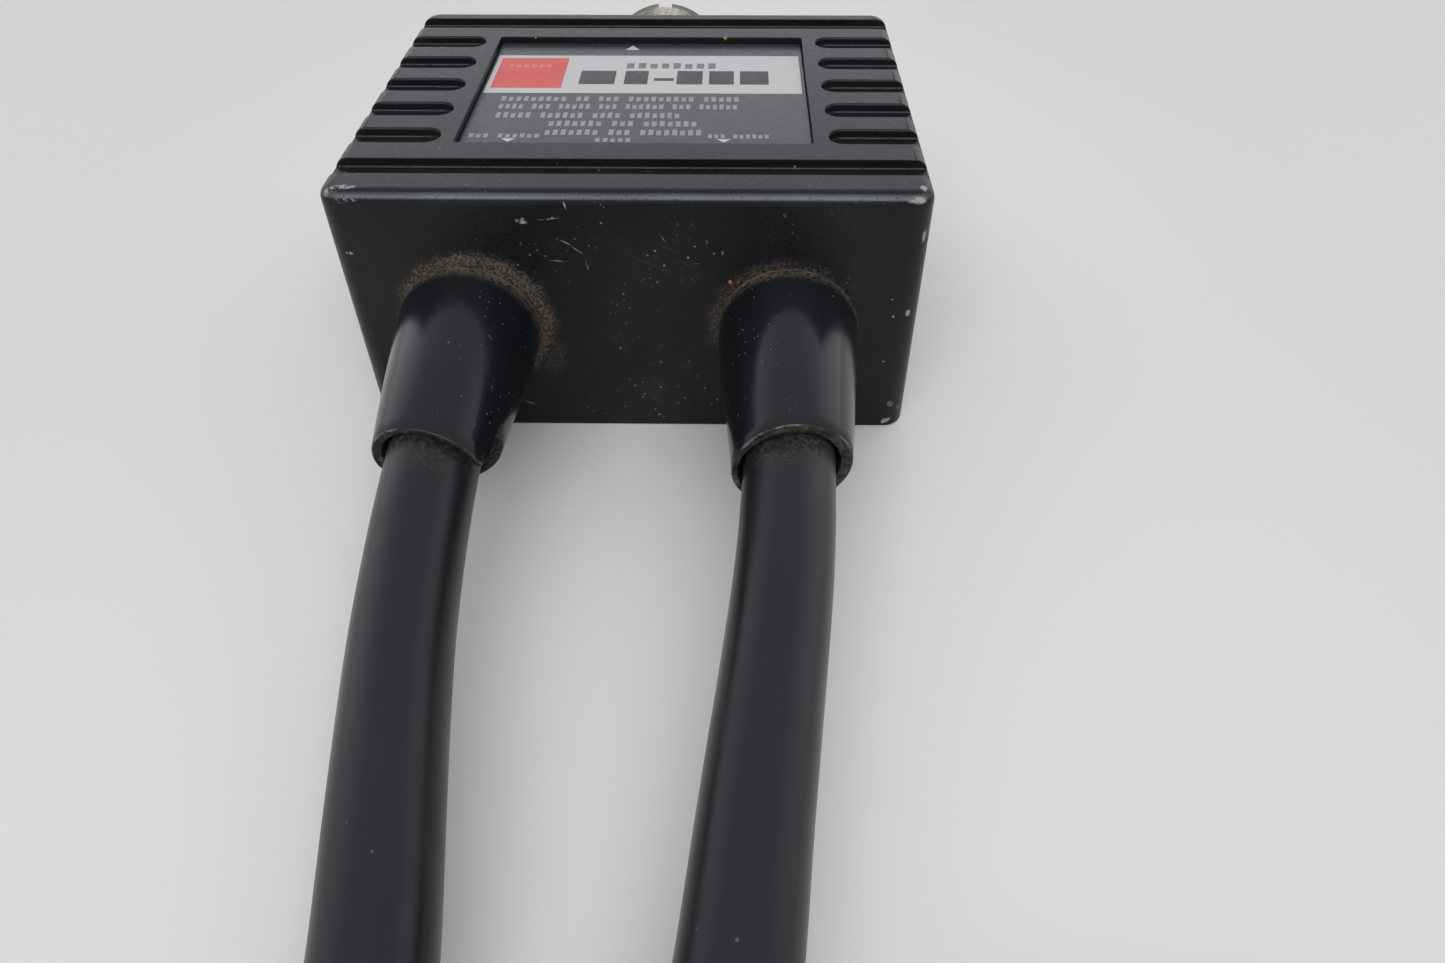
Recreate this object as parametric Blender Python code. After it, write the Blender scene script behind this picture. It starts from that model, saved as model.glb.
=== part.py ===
"""Antenna duplexer: a ribbed die-cast case with two coaxial leads in front and a screw socket behind.

Metres, +Z up. The origin is at the middle of the underside, on the surface the case lies on.
+X is the right-hand side, the leads leave towards -Y and the antenna socket looks towards +Y.
"""

import math

import bmesh
import bpy
import numpy as np
from mathutils import Matrix, Vector

# Clearance between pieces that touch
GAP = 0.0003

# Die-cast case, open below
CASE_WIDTH = 0.0540
CASE_DEPTH = 0.04435
CASE_HEIGHT = 0.0260
WALL = 0.0022
ROOF = 0.0028
CORNER_RADIUS = 0.0020
TOP_EDGE_RADIUS = 0.0012
CAVITY_CORNER_RADIUS = 0.0012

# Cooling grooves in the top
GROOVE_WIDTH = 0.0029
GROOVE_DEPTH = 0.0009
SIDE_GROOVES = 5
FRONT_RIB_WIDTH = 0.0037
FRONT_LAND_WIDTH = 0.0033
REAR_RIB_WIDTH = 0.00235
REAR_LAND_WIDTH = 0.0028

# Recess of the rating label, as long as the rows of side grooves beside it
RECESS_INSET = 0.0102
RECESS_DEPTH = 0.0013
RECESS_BORDER = 0.0015
LABEL_THICKNESS = 0.0003

# Bottom plate in a rebate of the case, on four screws in corner bosses
RIM = 0.0012
PLATE_THICKNESS = 0.0015
BOSS_RADIUS = 0.0020
BOSS_INSET_X = 0.0041
BOSS_INSET_Y = 0.0059
COVER_SCREW_RADIUS = 0.0011
COVER_SCREW_LENGTH = 0.0080
COVER_SCREW_HEAD_RADIUS = 0.0021
COVER_SCREW_HEAD_DEPTH = 0.0011
COVER_SCREW_SUNK = 0.0001

# Circuit board under two posts of the roof
BOARD_THICKNESS = 0.0016
BOARD_HEIGHT = 0.0036
BOARD_MARGIN = 0.0005
POST_RADIUS = 0.0024
POST_INSET = 0.0047
BOARD_SCREW_RADIUS = 0.0010
BOARD_SCREW_HEAD_RADIUS = 0.0019
BOARD_SCREW_HEAD_HEIGHT = 0.0013
BOARD_SCREW_LENGTH = 0.0060

# Coaxial leads
LEAD_INSET = 0.0120
LEAD_SHIFT = -0.0004
LEAD_HEIGHT = 0.0125
CABLE_DIAMETER = 0.0076
CABLE_END_INSET = 0.0045
DIELECTRIC_RADIUS = 0.0024
DIELECTRIC_LENGTH = 0.0036
CORE_RADIUS = 0.0007
CLAMP_LENGTH = 0.0020
CLAMP_THICKNESS = 0.0009
CLAMP_FOOT_WIDTH = 0.0050
CLAMP_INSET = 0.0020

# Moulded boots that the leads leave through
BOOT_LENGTH = 0.0189
BOOT_BASE_RADIUS = 0.0066
BOOT_RIM_RADIUS = 0.0049
BOOT_TAPER = 1.25
BOOT_BASE_ROUND = 0.0004
BOOT_CLEARANCE = 0.00045
BOOT_NECK_WALL = 0.0007
BOOT_FLANGE_WIDTH = 0.0006
BOOT_FLANGE_THICKNESS = 0.0011

# Antenna socket on the rear wall
SOCKET_HEIGHT = 0.0130
SOCKET_FLANGE = 0.0240
SOCKET_FLANGE_THICKNESS = 0.0016
SOCKET_FLANGE_CORNER = 0.0016
SOCKET_BARREL_RADIUS = 0.00795
SOCKET_BARREL_LENGTH = 0.0166
SOCKET_BORE_RADIUS = 0.0065
SOCKET_LIP_RADIUS = 0.0057
SOCKET_LIP_LENGTH = 0.0010
SOCKET_NOTCH_WIDTH = 0.0018
SOCKET_NOTCH_DEPTH = 0.0013
SOCKET_INSULATOR_LENGTH = 0.0072
SOCKET_TAIL_LENGTH = 0.0040
SOCKET_CONTACT_RADIUS = 0.0025
SOCKET_CONTACT_BORE = 0.00205
SOCKET_CONTACT_RECESS = 0.0006
SOCKET_CONTACT_BORE_DEPTH = 0.0105
SOCKET_CUP_LENGTH = 0.0034
SOCKET_CUP_RADIUS = 0.0015
SOCKET_CUP_BORE = 0.0009
SOCKET_SLIT_WIDTH = 0.0006
SOCKET_SCREW_INSET = 0.0029
SOCKET_SCREW_RADIUS = 0.0013
SOCKET_SCREW_HEAD_RADIUS = 0.0026
SOCKET_SCREW_HEAD_HEIGHT = 0.0018

# Cable plugs
PLUG_SLEEVE_RADIUS = 0.00575
PLUG_SLEEVE_LENGTH = 0.0205
PLUG_SHOULDER_RADIUS = 0.0073
PLUG_SHOULDER_LENGTH = 0.0018
PLUG_NOSE_RADIUS = 0.00595
PLUG_NOSE_LENGTH = 0.0075
PLUG_NOSE_WALL = 0.0009
PLUG_TOOTH_DEPTH = 0.0010
PLUG_TOOTH_GAP = 0.0012
PLUG_CABLE_DEPTH = 0.0060
PLUG_THROAT_RADIUS = 0.0029
PLUG_INSULATOR_LENGTH = 0.0120
PLUG_INSULATOR_RECESS = 0.0008
PLUG_PIN_RADIUS = 0.0020
PLUG_PIN_REACH = 0.0085
PLUG_PIN_TAIL = 0.0040
PLUG_RING_RADIUS = 0.00925
PLUG_RING_LENGTH = 0.0195
PLUG_RING_LIP = 0.0085
PLUG_RING_THREAD_RADIUS = 0.0080
PLUG_RING_CHAMFER = 0.0008

# Filter parts on the board
COIL_RADIUS = 0.0026
COIL_WIRE_RADIUS = 0.00045
COIL_PITCH = 0.0016
LOW_PASS_TURNS = 4
HIGH_PASS_TURNS = 3
COIL_SPACING = 0.0085
COIL_CLEARANCE = 0.0006
CAPACITOR_RADIUS = 0.0027
CAPACITOR_THICKNESS = 0.0020
CAPACITOR_LEG = 0.0016
CAPACITOR_LEG_RADIUS = 0.0003
CAPACITOR_LEG_SPREAD = 0.0030
SHIELD_THICKNESS = 0.0005
SHIELD_SETBACK = 0.0110

# Facets of round pieces
ROUND_SIDES = 24
BOOT_SIDES = 20
SCREW_SIDES = 12
WIRE_SIDES_RESOLUTION = 1
CABLE_SIDES_RESOLUTION = 2
CABLE_POINT_SPACING = 2.0

# Planes and places that several pieces share
FRONT_WIDTH = FRONT_RIB_WIDTH + GROOVE_WIDTH + FRONT_LAND_WIDTH
REAR_WIDTH = REAR_RIB_WIDTH + GROOVE_WIDTH + REAR_LAND_WIDTH
RECESS_LENGTH = CASE_DEPTH - FRONT_WIDTH - REAR_WIDTH
RECESS_Y = (FRONT_WIDTH - REAR_WIDTH) / 2
SIDE_GROOVE_PITCH = (RECESS_LENGTH - GROOVE_WIDTH) / (SIDE_GROOVES - 1)
RECESS_WIDTH = CASE_WIDTH - 2 * RECESS_INSET
LEAD_SPREAD = CASE_WIDTH - 2 * LEAD_INSET
SOCKET_SCREW_PITCH = SOCKET_FLANGE - 2 * SOCKET_SCREW_INSET
FRONT = -CASE_DEPTH / 2
REAR = CASE_DEPTH / 2
INNER_FRONT = FRONT + WALL
INNER_REAR = REAR - WALL
INNER_HALF_WIDTH = CASE_WIDTH / 2 - WALL
INNER_ROOF = CASE_HEIGHT - ROOF
REBATE_HEIGHT = PLATE_THICKNESS + GAP
BOARD_TOP = BOARD_HEIGHT + BOARD_THICKNESS
BOARD_SEAT = BOARD_TOP + GAP
POST_X = INNER_HALF_WIDTH - POST_INSET
CABLE_RADIUS = CABLE_DIAMETER / 2
FLOOR_HEIGHT = CABLE_RADIUS + GAP / 3
PLUG_HEIGHT = PLUG_RING_RADIUS + GAP / 3
BOSS_X = CASE_WIDTH / 2 - BOSS_INSET_X
BOSS_Y = CASE_DEPTH / 2 - BOSS_INSET_Y

# Routes of the two leads: across and along from where each leaves the front wall, and its height
# as a share of the way from the floor, 0, up to the hole in the wall, 1
LEFT_ROUTE = [
    (0.0000, 0.0000, 1.00),
    (0.0001, -0.0070, 0.98),
    (0.0001, -0.0139, 0.93),
    (0.0001, -0.0199, 0.84),
    (0.0003, -0.0274, 0.68),
    (0.0009, -0.0349, 0.56),
    (0.0020, -0.0429, 0.48),
    (0.0031, -0.0499, 0.42),
    (0.0042, -0.0574, 0.34),
    (0.0043, -0.0669, 0.19),
    (0.0015, -0.0774, 0.06),
    (-0.0047, -0.0879, 0.00),
    (-0.0126, -0.0984, 0.00),
    (-0.0204, -0.1094, 0.00),
    (-0.0266, -0.1224, 0.00),
    (-0.0296, -0.1369, 0.00),
    (-0.0261, -0.1543, 0.00),
    (-0.0163, -0.1691, 0.00),
    (-0.0015, -0.1789, 0.00),
    (0.0159, -0.1824, 0.00),
    (0.0333, -0.1789, 0.00),
    (0.0481, -0.1691, 0.05),
    (0.0580, -0.1545, 0.28),
    (0.0638, -0.1409, 0.53),
]
LEFT_PLUG = (0.0664, -0.1270)
RIGHT_ROUTE = [
    (0.0000, 0.0000, 1.00),
    (-0.0002, -0.0070, 0.98),
    (-0.0003, -0.0139, 0.94),
    (-0.0006, -0.0209, 0.86),
    (-0.0011, -0.0280, 0.76),
    (-0.0019, -0.0350, 0.65),
    (-0.0028, -0.0420, 0.57),
    (-0.0037, -0.0490, 0.50),
    (-0.0046, -0.0565, 0.44),
    (-0.0062, -0.0650, 0.35),
    (-0.0093, -0.0740, 0.23),
    (-0.0139, -0.0827, 0.10),
    (-0.0202, -0.0911, 0.02),
    (-0.0276, -0.0984, 0.00),
    (-0.0342, -0.1059, 0.00),
    (-0.0410, -0.1130, 0.00),
    (-0.0475, -0.1232, 0.00),
    (-0.0506, -0.1369, 0.00),
    (-0.0482, -0.1504, 0.00),
    (-0.0403, -0.1622, 0.00),
    (-0.0287, -0.1697, 0.00),
    (-0.0151, -0.1723, 0.00),
    (-0.0012, -0.1695, 0.00),
    (0.0100, -0.1620, 0.01),
    (0.0177, -0.1503, 0.10),
    (0.0204, -0.1369, 0.30),
    (0.0204, -0.1217, 0.52),
]
RIGHT_PLUG = (0.0204, -0.1055)

# Cut ends of the boots: degrees round the lead, from the side that faces +X upwards, and how far
# the boot reaches past its length there
LEFT_CUT = [(0, -0.0028), (12, 0.0006), (90, 0.0), (180, -0.0009), (225, -0.0014), (270, -0.0028)]
RIGHT_CUT = [(0, -0.0007), (90, 0.0), (180, 0.0007), (270, 0.0)]


def clear_scene():
    """Remove every object that the scene starts with."""
    for item in list(bpy.data.objects):
        bpy.data.objects.remove(item, do_unlink=True)


def surface(name, colour, roughness, metallic=0.0):
    """A plain Principled material."""
    made = bpy.data.materials.new(name)
    made.use_nodes = True
    shader = made.node_tree.nodes["Principled BSDF"]
    shader.inputs["Base Color"].default_value = (*colour, 1.0)
    shader.inputs["Roughness"].default_value = roughness
    shader.inputs["Metallic"].default_value = metallic
    return made


def add_object(name, data, finish, location=(0, 0, 0), rotation=(0, 0, 0)):
    """Link mesh or curve data to the scene as a named object with one material."""
    made = bpy.data.objects.new(name, data)
    bpy.context.scene.collection.objects.link(made)
    made.location = location
    made.rotation_euler = rotation
    if finish:
        data.materials.clear()
        data.materials.append(finish)
    return made


def mesh_from(shape, name, smooth_angle=None):
    """Turn a bmesh into mesh data with its faces pointing out."""
    bmesh.ops.recalc_face_normals(shape, faces=shape.faces)
    mesh = bpy.data.meshes.new(name)
    shape.to_mesh(mesh)
    shape.free()
    if smooth_angle is not None:
        mesh.shade_smooth()
        mesh.set_sharp_from_angle(angle=math.radians(smooth_angle))
    return mesh


def bridge(shape, lower, upper):
    """Join two rings of vertices, either of which may be a single pole."""
    count = max(len(lower), len(upper))
    for step in range(count):
        following = (step + 1) % count
        corners = [
            lower[step % len(lower)],
            lower[following % len(lower)],
            upper[following % len(upper)],
            upper[step % len(upper)],
        ]
        shape.faces.new(list(dict.fromkeys(corners)))


def stack_of_rings(rings, closed=False):
    """A solid through rings of points: capped at both ends, or closed into a ring itself."""
    shape = bmesh.new()
    made = [[shape.verts.new(point) for point in ring] for ring in rings]
    for lower, upper in zip(made, made[1:]):
        bridge(shape, lower, upper)
    if closed:
        bridge(shape, made[-1], made[0])
    else:
        for ring in (made[0], made[-1]):
            if len(ring) > 1:
                shape.faces.new(ring)
    return shape


def turned(profile, sides, closed=False):
    """Turn (radius, height) points about Z: from axis to axis, or a closed loop off the axis."""
    rings = []
    for radius, height in profile:
        if radius == 0:
            rings.append([(0, 0, height)])
            continue
        angles = [2 * math.pi * step / sides for step in range(sides)]
        rings.append([(radius * math.cos(a), radius * math.sin(a), height) for a in angles])
    return stack_of_rings(rings, closed)


def rounded_rectangle(width, depth, radius, height, steps=4):
    """Points of a rectangle with round corners, centred on the Z axis."""
    points = []
    for quarter, (side_x, side_y) in enumerate(((1, 1), (-1, 1), (-1, -1), (1, -1))):
        centre_x = side_x * (width / 2 - radius)
        centre_y = side_y * (depth / 2 - radius)
        for step in range(steps + 1):
            angle = math.pi / 2 * (quarter + step / steps)
            points.append(
                (centre_x + radius * math.cos(angle), centre_y + radius * math.sin(angle), height)
            )
    return points


def slab(width, depth, low, high, radius=None, centre=(0, 0)):
    """A straight-sided block from one height to another, with square or round corners."""
    if radius:
        rings = [rounded_rectangle(width, depth, radius, height) for height in (low, high)]
    else:
        half_x, half_y = width / 2, depth / 2
        corners = ((half_x, half_y), (-half_x, half_y), (-half_x, -half_y), (half_x, -half_y))
        rings = [[(x, y, height) for x, y in corners] for height in (low, high)]
    shape = stack_of_rings(rings)
    bmesh.ops.translate(shape, verts=shape.verts, vec=(*centre, 0))
    return shape


def rod(radius, low, high, centre=(0, 0), sides=SCREW_SIDES):
    """A straight round bar along Z."""
    shape = turned([(0, low), (radius, low), (radius, high), (0, high)], sides)
    bmesh.ops.translate(shape, verts=shape.verts, vec=(*centre, 0))
    return shape


def aimed(shape, rotation, location):
    """Turn and move a bmesh."""
    bmesh.ops.transform(shape, matrix=Matrix.Translation(location) @ rotation, verts=shape.verts)
    return shape


def combine(mesh, shapes, operation):
    """Cut bmeshes from a mesh, or unite them with it, one after the other."""
    base = bpy.data.objects.new("combine_base", mesh)
    bpy.context.scene.collection.objects.link(base)
    for shape in shapes:
        tool = bpy.data.objects.new("combine_tool", mesh_from(shape, "combine_tool"))
        bpy.context.scene.collection.objects.link(tool)
        step = base.modifiers.new("combine", "BOOLEAN")
        step.object = tool
        step.operation = operation
        bpy.context.view_layer.update()
        result = base.evaluated_get(bpy.context.evaluated_depsgraph_get())
        combined = bpy.data.meshes.new_from_object(result)
        base.modifiers.clear()
        base.data = combined
        bpy.data.objects.remove(tool, do_unlink=True)
    result = base.data
    bpy.data.objects.remove(base, do_unlink=True)
    result.name = mesh.name
    return result


def shade_by_angle(mesh, degrees=35):
    """Smooth shading with edges above an angle kept sharp."""
    mesh.shade_smooth()
    mesh.set_sharp_from_angle(angle=math.radians(degrees))


ALONG_Y = Matrix.Rotation(math.radians(-90), 4, "X")
ALONG_X = Matrix.Rotation(math.radians(90), 4, "Y")
FACING_REAR = (math.radians(-90), 0, 0)
FORWARD = Vector((0, -1, 0))
BACKWARD = Vector((0, 1, 0))
DOWNWARD = Vector((0, 0, -1))


def corner_places(half_x, half_y):
    """The four (x, y) corners of a pattern."""
    return [(side_x * half_x, side_y * half_y) for side_x in (-1, 1) for side_y in (-1, 1)]


# Case and cover


def case_outside():
    """The casting's outer form, with its upright corners and top edge rounded."""
    rings = [rounded_rectangle(CASE_WIDTH, CASE_DEPTH, CORNER_RADIUS, 0)]
    steps = 3
    for step in range(steps + 1):
        angle = math.pi / 2 * step / steps
        inset = TOP_EDGE_RADIUS * (1 - math.cos(angle))
        height = CASE_HEIGHT - TOP_EDGE_RADIUS * (1 - math.sin(angle))
        radius = CORNER_RADIUS - inset
        rings.append(
            rounded_rectangle(CASE_WIDTH - 2 * inset, CASE_DEPTH - 2 * inset, radius, height)
        )
    return stack_of_rings(rings)


def side_groove_offsets():
    """Where the side grooves lie along Y, beside the label recess."""
    middle = (SIDE_GROOVES - 1) / 2
    return [RECESS_Y + (place - middle) * SIDE_GROOVE_PITCH for place in range(SIDE_GROOVES)]


def groove_cutters():
    """One groove across the top inside each end rib, and a row of round-ended grooves on each side."""
    floor = CASE_HEIGHT - GROOVE_DEPTH
    above = CASE_HEIGHT + GROOVE_DEPTH
    places = (
        FRONT + FRONT_RIB_WIDTH + GROOVE_WIDTH / 2,
        REAR - REAR_RIB_WIDTH - GROOVE_WIDTH / 2,
    )
    cutters = [slab(CASE_WIDTH * 2, GROOVE_WIDTH, floor, above, centre=(0, y)) for y in places]
    inner_end = RECESS_WIDTH / 2 + RECESS_BORDER
    length = CASE_WIDTH
    for side in (-1, 1):
        for offset in side_groove_offsets():
            centre = (side * (inner_end + length / 2), offset)
            cutters.append(
                slab(length, GROOVE_WIDTH, floor, above, GROOVE_WIDTH * 0.499, centre)
            )
    return cutters


def cavity_cutter():
    """The hollow of the case, less the corner bosses and the posts that carry the board."""
    mesh = mesh_from(
        slab(
            2 * INNER_HALF_WIDTH,
            INNER_REAR - INNER_FRONT,
            -WALL,
            INNER_ROOF,
            CAVITY_CORNER_RADIUS,
        ),
        "cavity",
    )
    above = INNER_ROOF + ROOF
    bosses = [
        rod(BOSS_RADIUS, REBATE_HEIGHT, above, place) for place in corner_places(BOSS_X, BOSS_Y)
    ]
    webs = [
        slab(
            BOSS_INSET_X,
            2 * BOSS_RADIUS,
            REBATE_HEIGHT,
            above,
            centre=(math.copysign(BOSS_X + BOSS_INSET_X / 2, x), y),
        )
        for x, y in corner_places(BOSS_X, BOSS_Y)
    ]
    posts = [rod(POST_RADIUS, BOARD_SEAT, above, (side * POST_X, 0)) for side in (-1, 1)]
    mesh = combine(mesh, bosses + webs + posts, "DIFFERENCE")
    shape = bmesh.new()
    shape.from_mesh(mesh)
    return shape


def screw_holes():
    """Blind holes for the screws of the plate and of the board."""
    holes = [
        rod(
            COVER_SCREW_RADIUS + GAP,
            0,
            PLATE_THICKNESS + COVER_SCREW_LENGTH + GAP,
            place,
        )
        for place in corner_places(BOSS_X, BOSS_Y)
    ]
    deepest = BOARD_HEIGHT + BOARD_SCREW_LENGTH + GAP
    holes += [
        rod(BOARD_SCREW_RADIUS + GAP, BOARD_HEIGHT, deepest, (side * POST_X, 0))
        for side in (-1, 1)
    ]
    return holes


def wall_holes():
    """Round holes for the boots in front, and for the socket and its screws behind."""
    neck = CABLE_RADIUS + BOOT_CLEARANCE + BOOT_NECK_WALL + GAP
    holes = []
    for side in (-1, 1):
        hole = rod(neck, -WALL, 2 * WALL, sides=BOOT_SIDES)
        holes.append(aimed(hole, ALONG_Y, (exit_x(side), FRONT, LEAD_HEIGHT)))
    centre = rod(SOCKET_LIP_RADIUS + GAP, -WALL, 2 * WALL, sides=ROUND_SIDES)
    holes.append(aimed(centre, ALONG_Y, (0, INNER_REAR, SOCKET_HEIGHT)))
    for across, up in corner_places(SOCKET_SCREW_PITCH / 2, SOCKET_SCREW_PITCH / 2):
        hole = rod(SOCKET_SCREW_RADIUS + GAP, -WALL, 2 * WALL)
        holes.append(aimed(hole, ALONG_Y, (across, INNER_REAR, SOCKET_HEIGHT + up)))
    return holes


def make_case(finish):
    """The casting: outer form, grooves, label recess, hollow, rebate and holes."""
    mesh = mesh_from(case_outside(), "case_body")
    recess = slab(
        RECESS_WIDTH,
        RECESS_LENGTH,
        CASE_HEIGHT - RECESS_DEPTH,
        CASE_HEIGHT + RECESS_DEPTH,
        centre=(0, RECESS_Y),
    )
    rebate = slab(
        CASE_WIDTH - 2 * RIM,
        CASE_DEPTH - 2 * RIM,
        -REBATE_HEIGHT,
        REBATE_HEIGHT,
        CAVITY_CORNER_RADIUS,
    )
    cutters = groove_cutters() + [recess, cavity_cutter(), rebate]
    mesh = combine(mesh, cutters + screw_holes() + wall_holes(), "DIFFERENCE")
    shade_by_angle(mesh)
    add_object("case_body", mesh, finish)


def make_label(finish):
    """The rating label, a thin plate on the floor of the recess."""
    floor = CASE_HEIGHT - RECESS_DEPTH + GAP
    shape = slab(
        RECESS_WIDTH - 2 * GAP,
        RECESS_LENGTH - 2 * GAP,
        floor,
        floor + LABEL_THICKNESS,
        centre=(0, RECESS_Y),
    )
    add_object("label_plate", mesh_from(shape, "label_plate"), finish)


def make_cover(plate_finish, screw_finish):
    """The bottom plate, flush in its rebate, and its four countersunk screws."""
    mesh = mesh_from(
        slab(
            CASE_WIDTH - 2 * RIM - 2 * GAP,
            CASE_DEPTH - 2 * RIM - 2 * GAP,
            0,
            PLATE_THICKNESS,
            CAVITY_CORNER_RADIUS,
        ),
        "bottom_plate",
    )
    head_top = COVER_SCREW_SUNK + COVER_SCREW_HEAD_DEPTH
    sinks = []
    for x, y in corner_places(BOSS_X, BOSS_Y):
        sink = turned(
            [
                (0, -PLATE_THICKNESS),
                (COVER_SCREW_HEAD_RADIUS + GAP, -PLATE_THICKNESS),
                (COVER_SCREW_HEAD_RADIUS + GAP, COVER_SCREW_SUNK),
                (COVER_SCREW_RADIUS + GAP, head_top),
                (COVER_SCREW_RADIUS + GAP, 2 * PLATE_THICKNESS),
                (0, 2 * PLATE_THICKNESS),
            ],
            SCREW_SIDES,
        )
        sinks.append(aimed(sink, Matrix.Identity(4), (x, y, 0)))
    mesh = combine(mesh, sinks, "DIFFERENCE")
    add_object("bottom_plate", mesh, plate_finish)
    tip = PLATE_THICKNESS + COVER_SCREW_LENGTH
    screw = turned(
        [
            (0, COVER_SCREW_SUNK),
            (COVER_SCREW_HEAD_RADIUS, COVER_SCREW_SUNK),
            (COVER_SCREW_RADIUS, head_top),
            (COVER_SCREW_RADIUS, tip - COVER_SCREW_RADIUS),
            (0, tip),
        ],
        SCREW_SIDES,
    )
    mesh = mesh_from(screw, "cover_screw", 35)
    for number, (x, y) in enumerate(corner_places(BOSS_X, BOSS_Y), 1):
        add_object(f"cover_screw_{number}", mesh, screw_finish, (x, y, 0))


# Board and filters


def make_board(board_finish, screw_finish):
    """The circuit board, notched round the corner bosses, and the two screws that hold it up."""
    width = 2 * (INNER_HALF_WIDTH - BOARD_MARGIN)
    depth = INNER_REAR - INNER_FRONT - 2 * BOARD_MARGIN
    mesh = mesh_from(
        slab(width, depth, BOARD_HEIGHT, BOARD_TOP, CAVITY_CORNER_RADIUS),
        "circuit_board",
    )
    notch_x = width / 2 - (BOSS_X - BOSS_RADIUS - BOARD_MARGIN)
    notch_y = depth / 2 - (BOSS_Y - BOSS_RADIUS - BOARD_MARGIN)
    notches = [
        slab(
            2 * notch_x,
            2 * notch_y,
            0,
            2 * BOARD_TOP,
            centre=(math.copysign(width / 2, x), math.copysign(depth / 2, y)),
        )
        for x, y in corner_places(BOSS_X, BOSS_Y)
    ]
    holes = [
        rod(BOARD_SCREW_RADIUS + GAP, 0, 2 * BOARD_TOP, (side * POST_X, 0)) for side in (-1, 1)
    ]
    mesh = combine(mesh, notches + holes, "DIFFERENCE")
    add_object("circuit_board", mesh, board_finish)
    seat = -GAP
    screw = turned(
        [
            (0, seat - BOARD_SCREW_HEAD_HEIGHT),
            (BOARD_SCREW_HEAD_RADIUS * 0.75, seat - BOARD_SCREW_HEAD_HEIGHT),
            (BOARD_SCREW_HEAD_RADIUS, seat - BOARD_SCREW_HEAD_HEIGHT / 2),
            (BOARD_SCREW_HEAD_RADIUS, seat),
            (BOARD_SCREW_RADIUS, seat),
            (BOARD_SCREW_RADIUS, BOARD_SCREW_LENGTH - BOARD_SCREW_RADIUS),
            (0, BOARD_SCREW_LENGTH),
        ],
        SCREW_SIDES,
    )
    mesh = mesh_from(screw, "board_screw", 35)
    for name, side in (("left", -1), ("right", 1)):
        place = (side * POST_X, 0, BOARD_HEIGHT)
        add_object(f"board_screw_{name}", mesh, screw_finish, place)


def wire(name, points, radius, finish, resolution=WIRE_SIDES_RESOLUTION):
    """A round wire through points, with closed ends."""
    data = bpy.data.curves.new(name, "CURVE")
    data.dimensions = "3D"
    spline = data.splines.new("POLY")
    spline.points.add(len(points) - 1)
    for place, point in zip(spline.points, points):
        place.co = (*point, 1.0)
    data.bevel_depth = radius
    data.bevel_resolution = resolution
    data.use_fill_caps = True
    return add_object(name, data, finish)


def coil_points(centre_x, centre_y, turns):
    """An air-wound coil along X on two legs that stand on the board."""
    height = BOARD_SEAT + COIL_CLEARANCE + COIL_RADIUS + COIL_WIRE_RADIUS
    steps = 10
    start = centre_x - turns * COIL_PITCH / 2
    turn_points = []
    for step in range(turns * steps + 1):
        angle = -math.pi / 2 + 2 * math.pi * step / steps
        across = COIL_RADIUS * math.cos(angle)
        up = COIL_RADIUS * math.sin(angle)
        turn_points.append((start + COIL_PITCH * step / steps, centre_y + across, height + up))
    first, last = turn_points[0], turn_points[-1]
    legs = [(x, y, BOARD_SEAT) for x, y, _ in (first, last)]
    return [legs[0], *turn_points, legs[1]]


def capacitor_mesh():
    """A disc capacitor standing on two legs, its disc across Y and Z."""
    radius, half = CAPACITOR_RADIUS, CAPACITOR_THICKNESS / 2
    centre = CAPACITOR_LEG + radius
    disc = turned(
        [
            (0, -half),
            (radius * 0.7, -half),
            (radius, -half * 0.4),
            (radius, half * 0.4),
            (radius * 0.7, half),
            (0, half),
        ],
        SCREW_SIDES,
    )
    mesh = mesh_from(aimed(disc, ALONG_X, (0, 0, centre)), "capacitor")
    legs = [
        rod(CAPACITOR_LEG_RADIUS, 0, centre, (0, side * CAPACITOR_LEG_SPREAD / 2), sides=6)
        for side in (-1, 1)
    ]
    mesh = combine(mesh, legs, "UNION")
    shade_by_angle(mesh)
    return mesh


def make_filters(coil_finish, ceramic_finish, shield_finish):
    """The low-pass filter on the left of the shield and the high-pass filter on its right."""
    shield_front = INNER_FRONT + BOARD_MARGIN + CABLE_END_INSET
    shield_rear = INNER_REAR - SHIELD_SETBACK
    shield = slab(
        SHIELD_THICKNESS,
        shield_rear - shield_front,
        BOARD_SEAT,
        INNER_ROOF - GAP,
        centre=(0, (shield_front + shield_rear) / 2),
    )
    add_object("shield_partition", mesh_from(shield, "shield_partition"), shield_finish)
    bay = POST_X - POST_RADIUS
    inner_row, outer_row = bay * 0.34, bay * 0.78
    rows = [(place - 1) * COIL_SPACING + COIL_SPACING / 4 for place in range(3)]
    between = [(rows[0] + rows[1]) / 2, (rows[1] + rows[2]) / 2]
    capacitor = capacitor_mesh()
    for number, y in enumerate(rows, 1):
        points = coil_points(-inner_row, y, LOW_PASS_TURNS)
        wire(f"low_pass_coil_{number}", points, COIL_WIRE_RADIUS, coil_finish)
        place = (inner_row, y, BOARD_SEAT)
        add_object(f"high_pass_capacitor_{number}", capacitor, ceramic_finish, place)
    for number, y in enumerate(between, 1):
        place = (-outer_row, y, BOARD_SEAT)
        add_object(f"low_pass_capacitor_{number}", capacitor, ceramic_finish, place)
        points = coil_points(outer_row, y, HIGH_PASS_TURNS)
        wire(f"high_pass_coil_{number}", points, COIL_WIRE_RADIUS, coil_finish)


# Leads and boots


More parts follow.
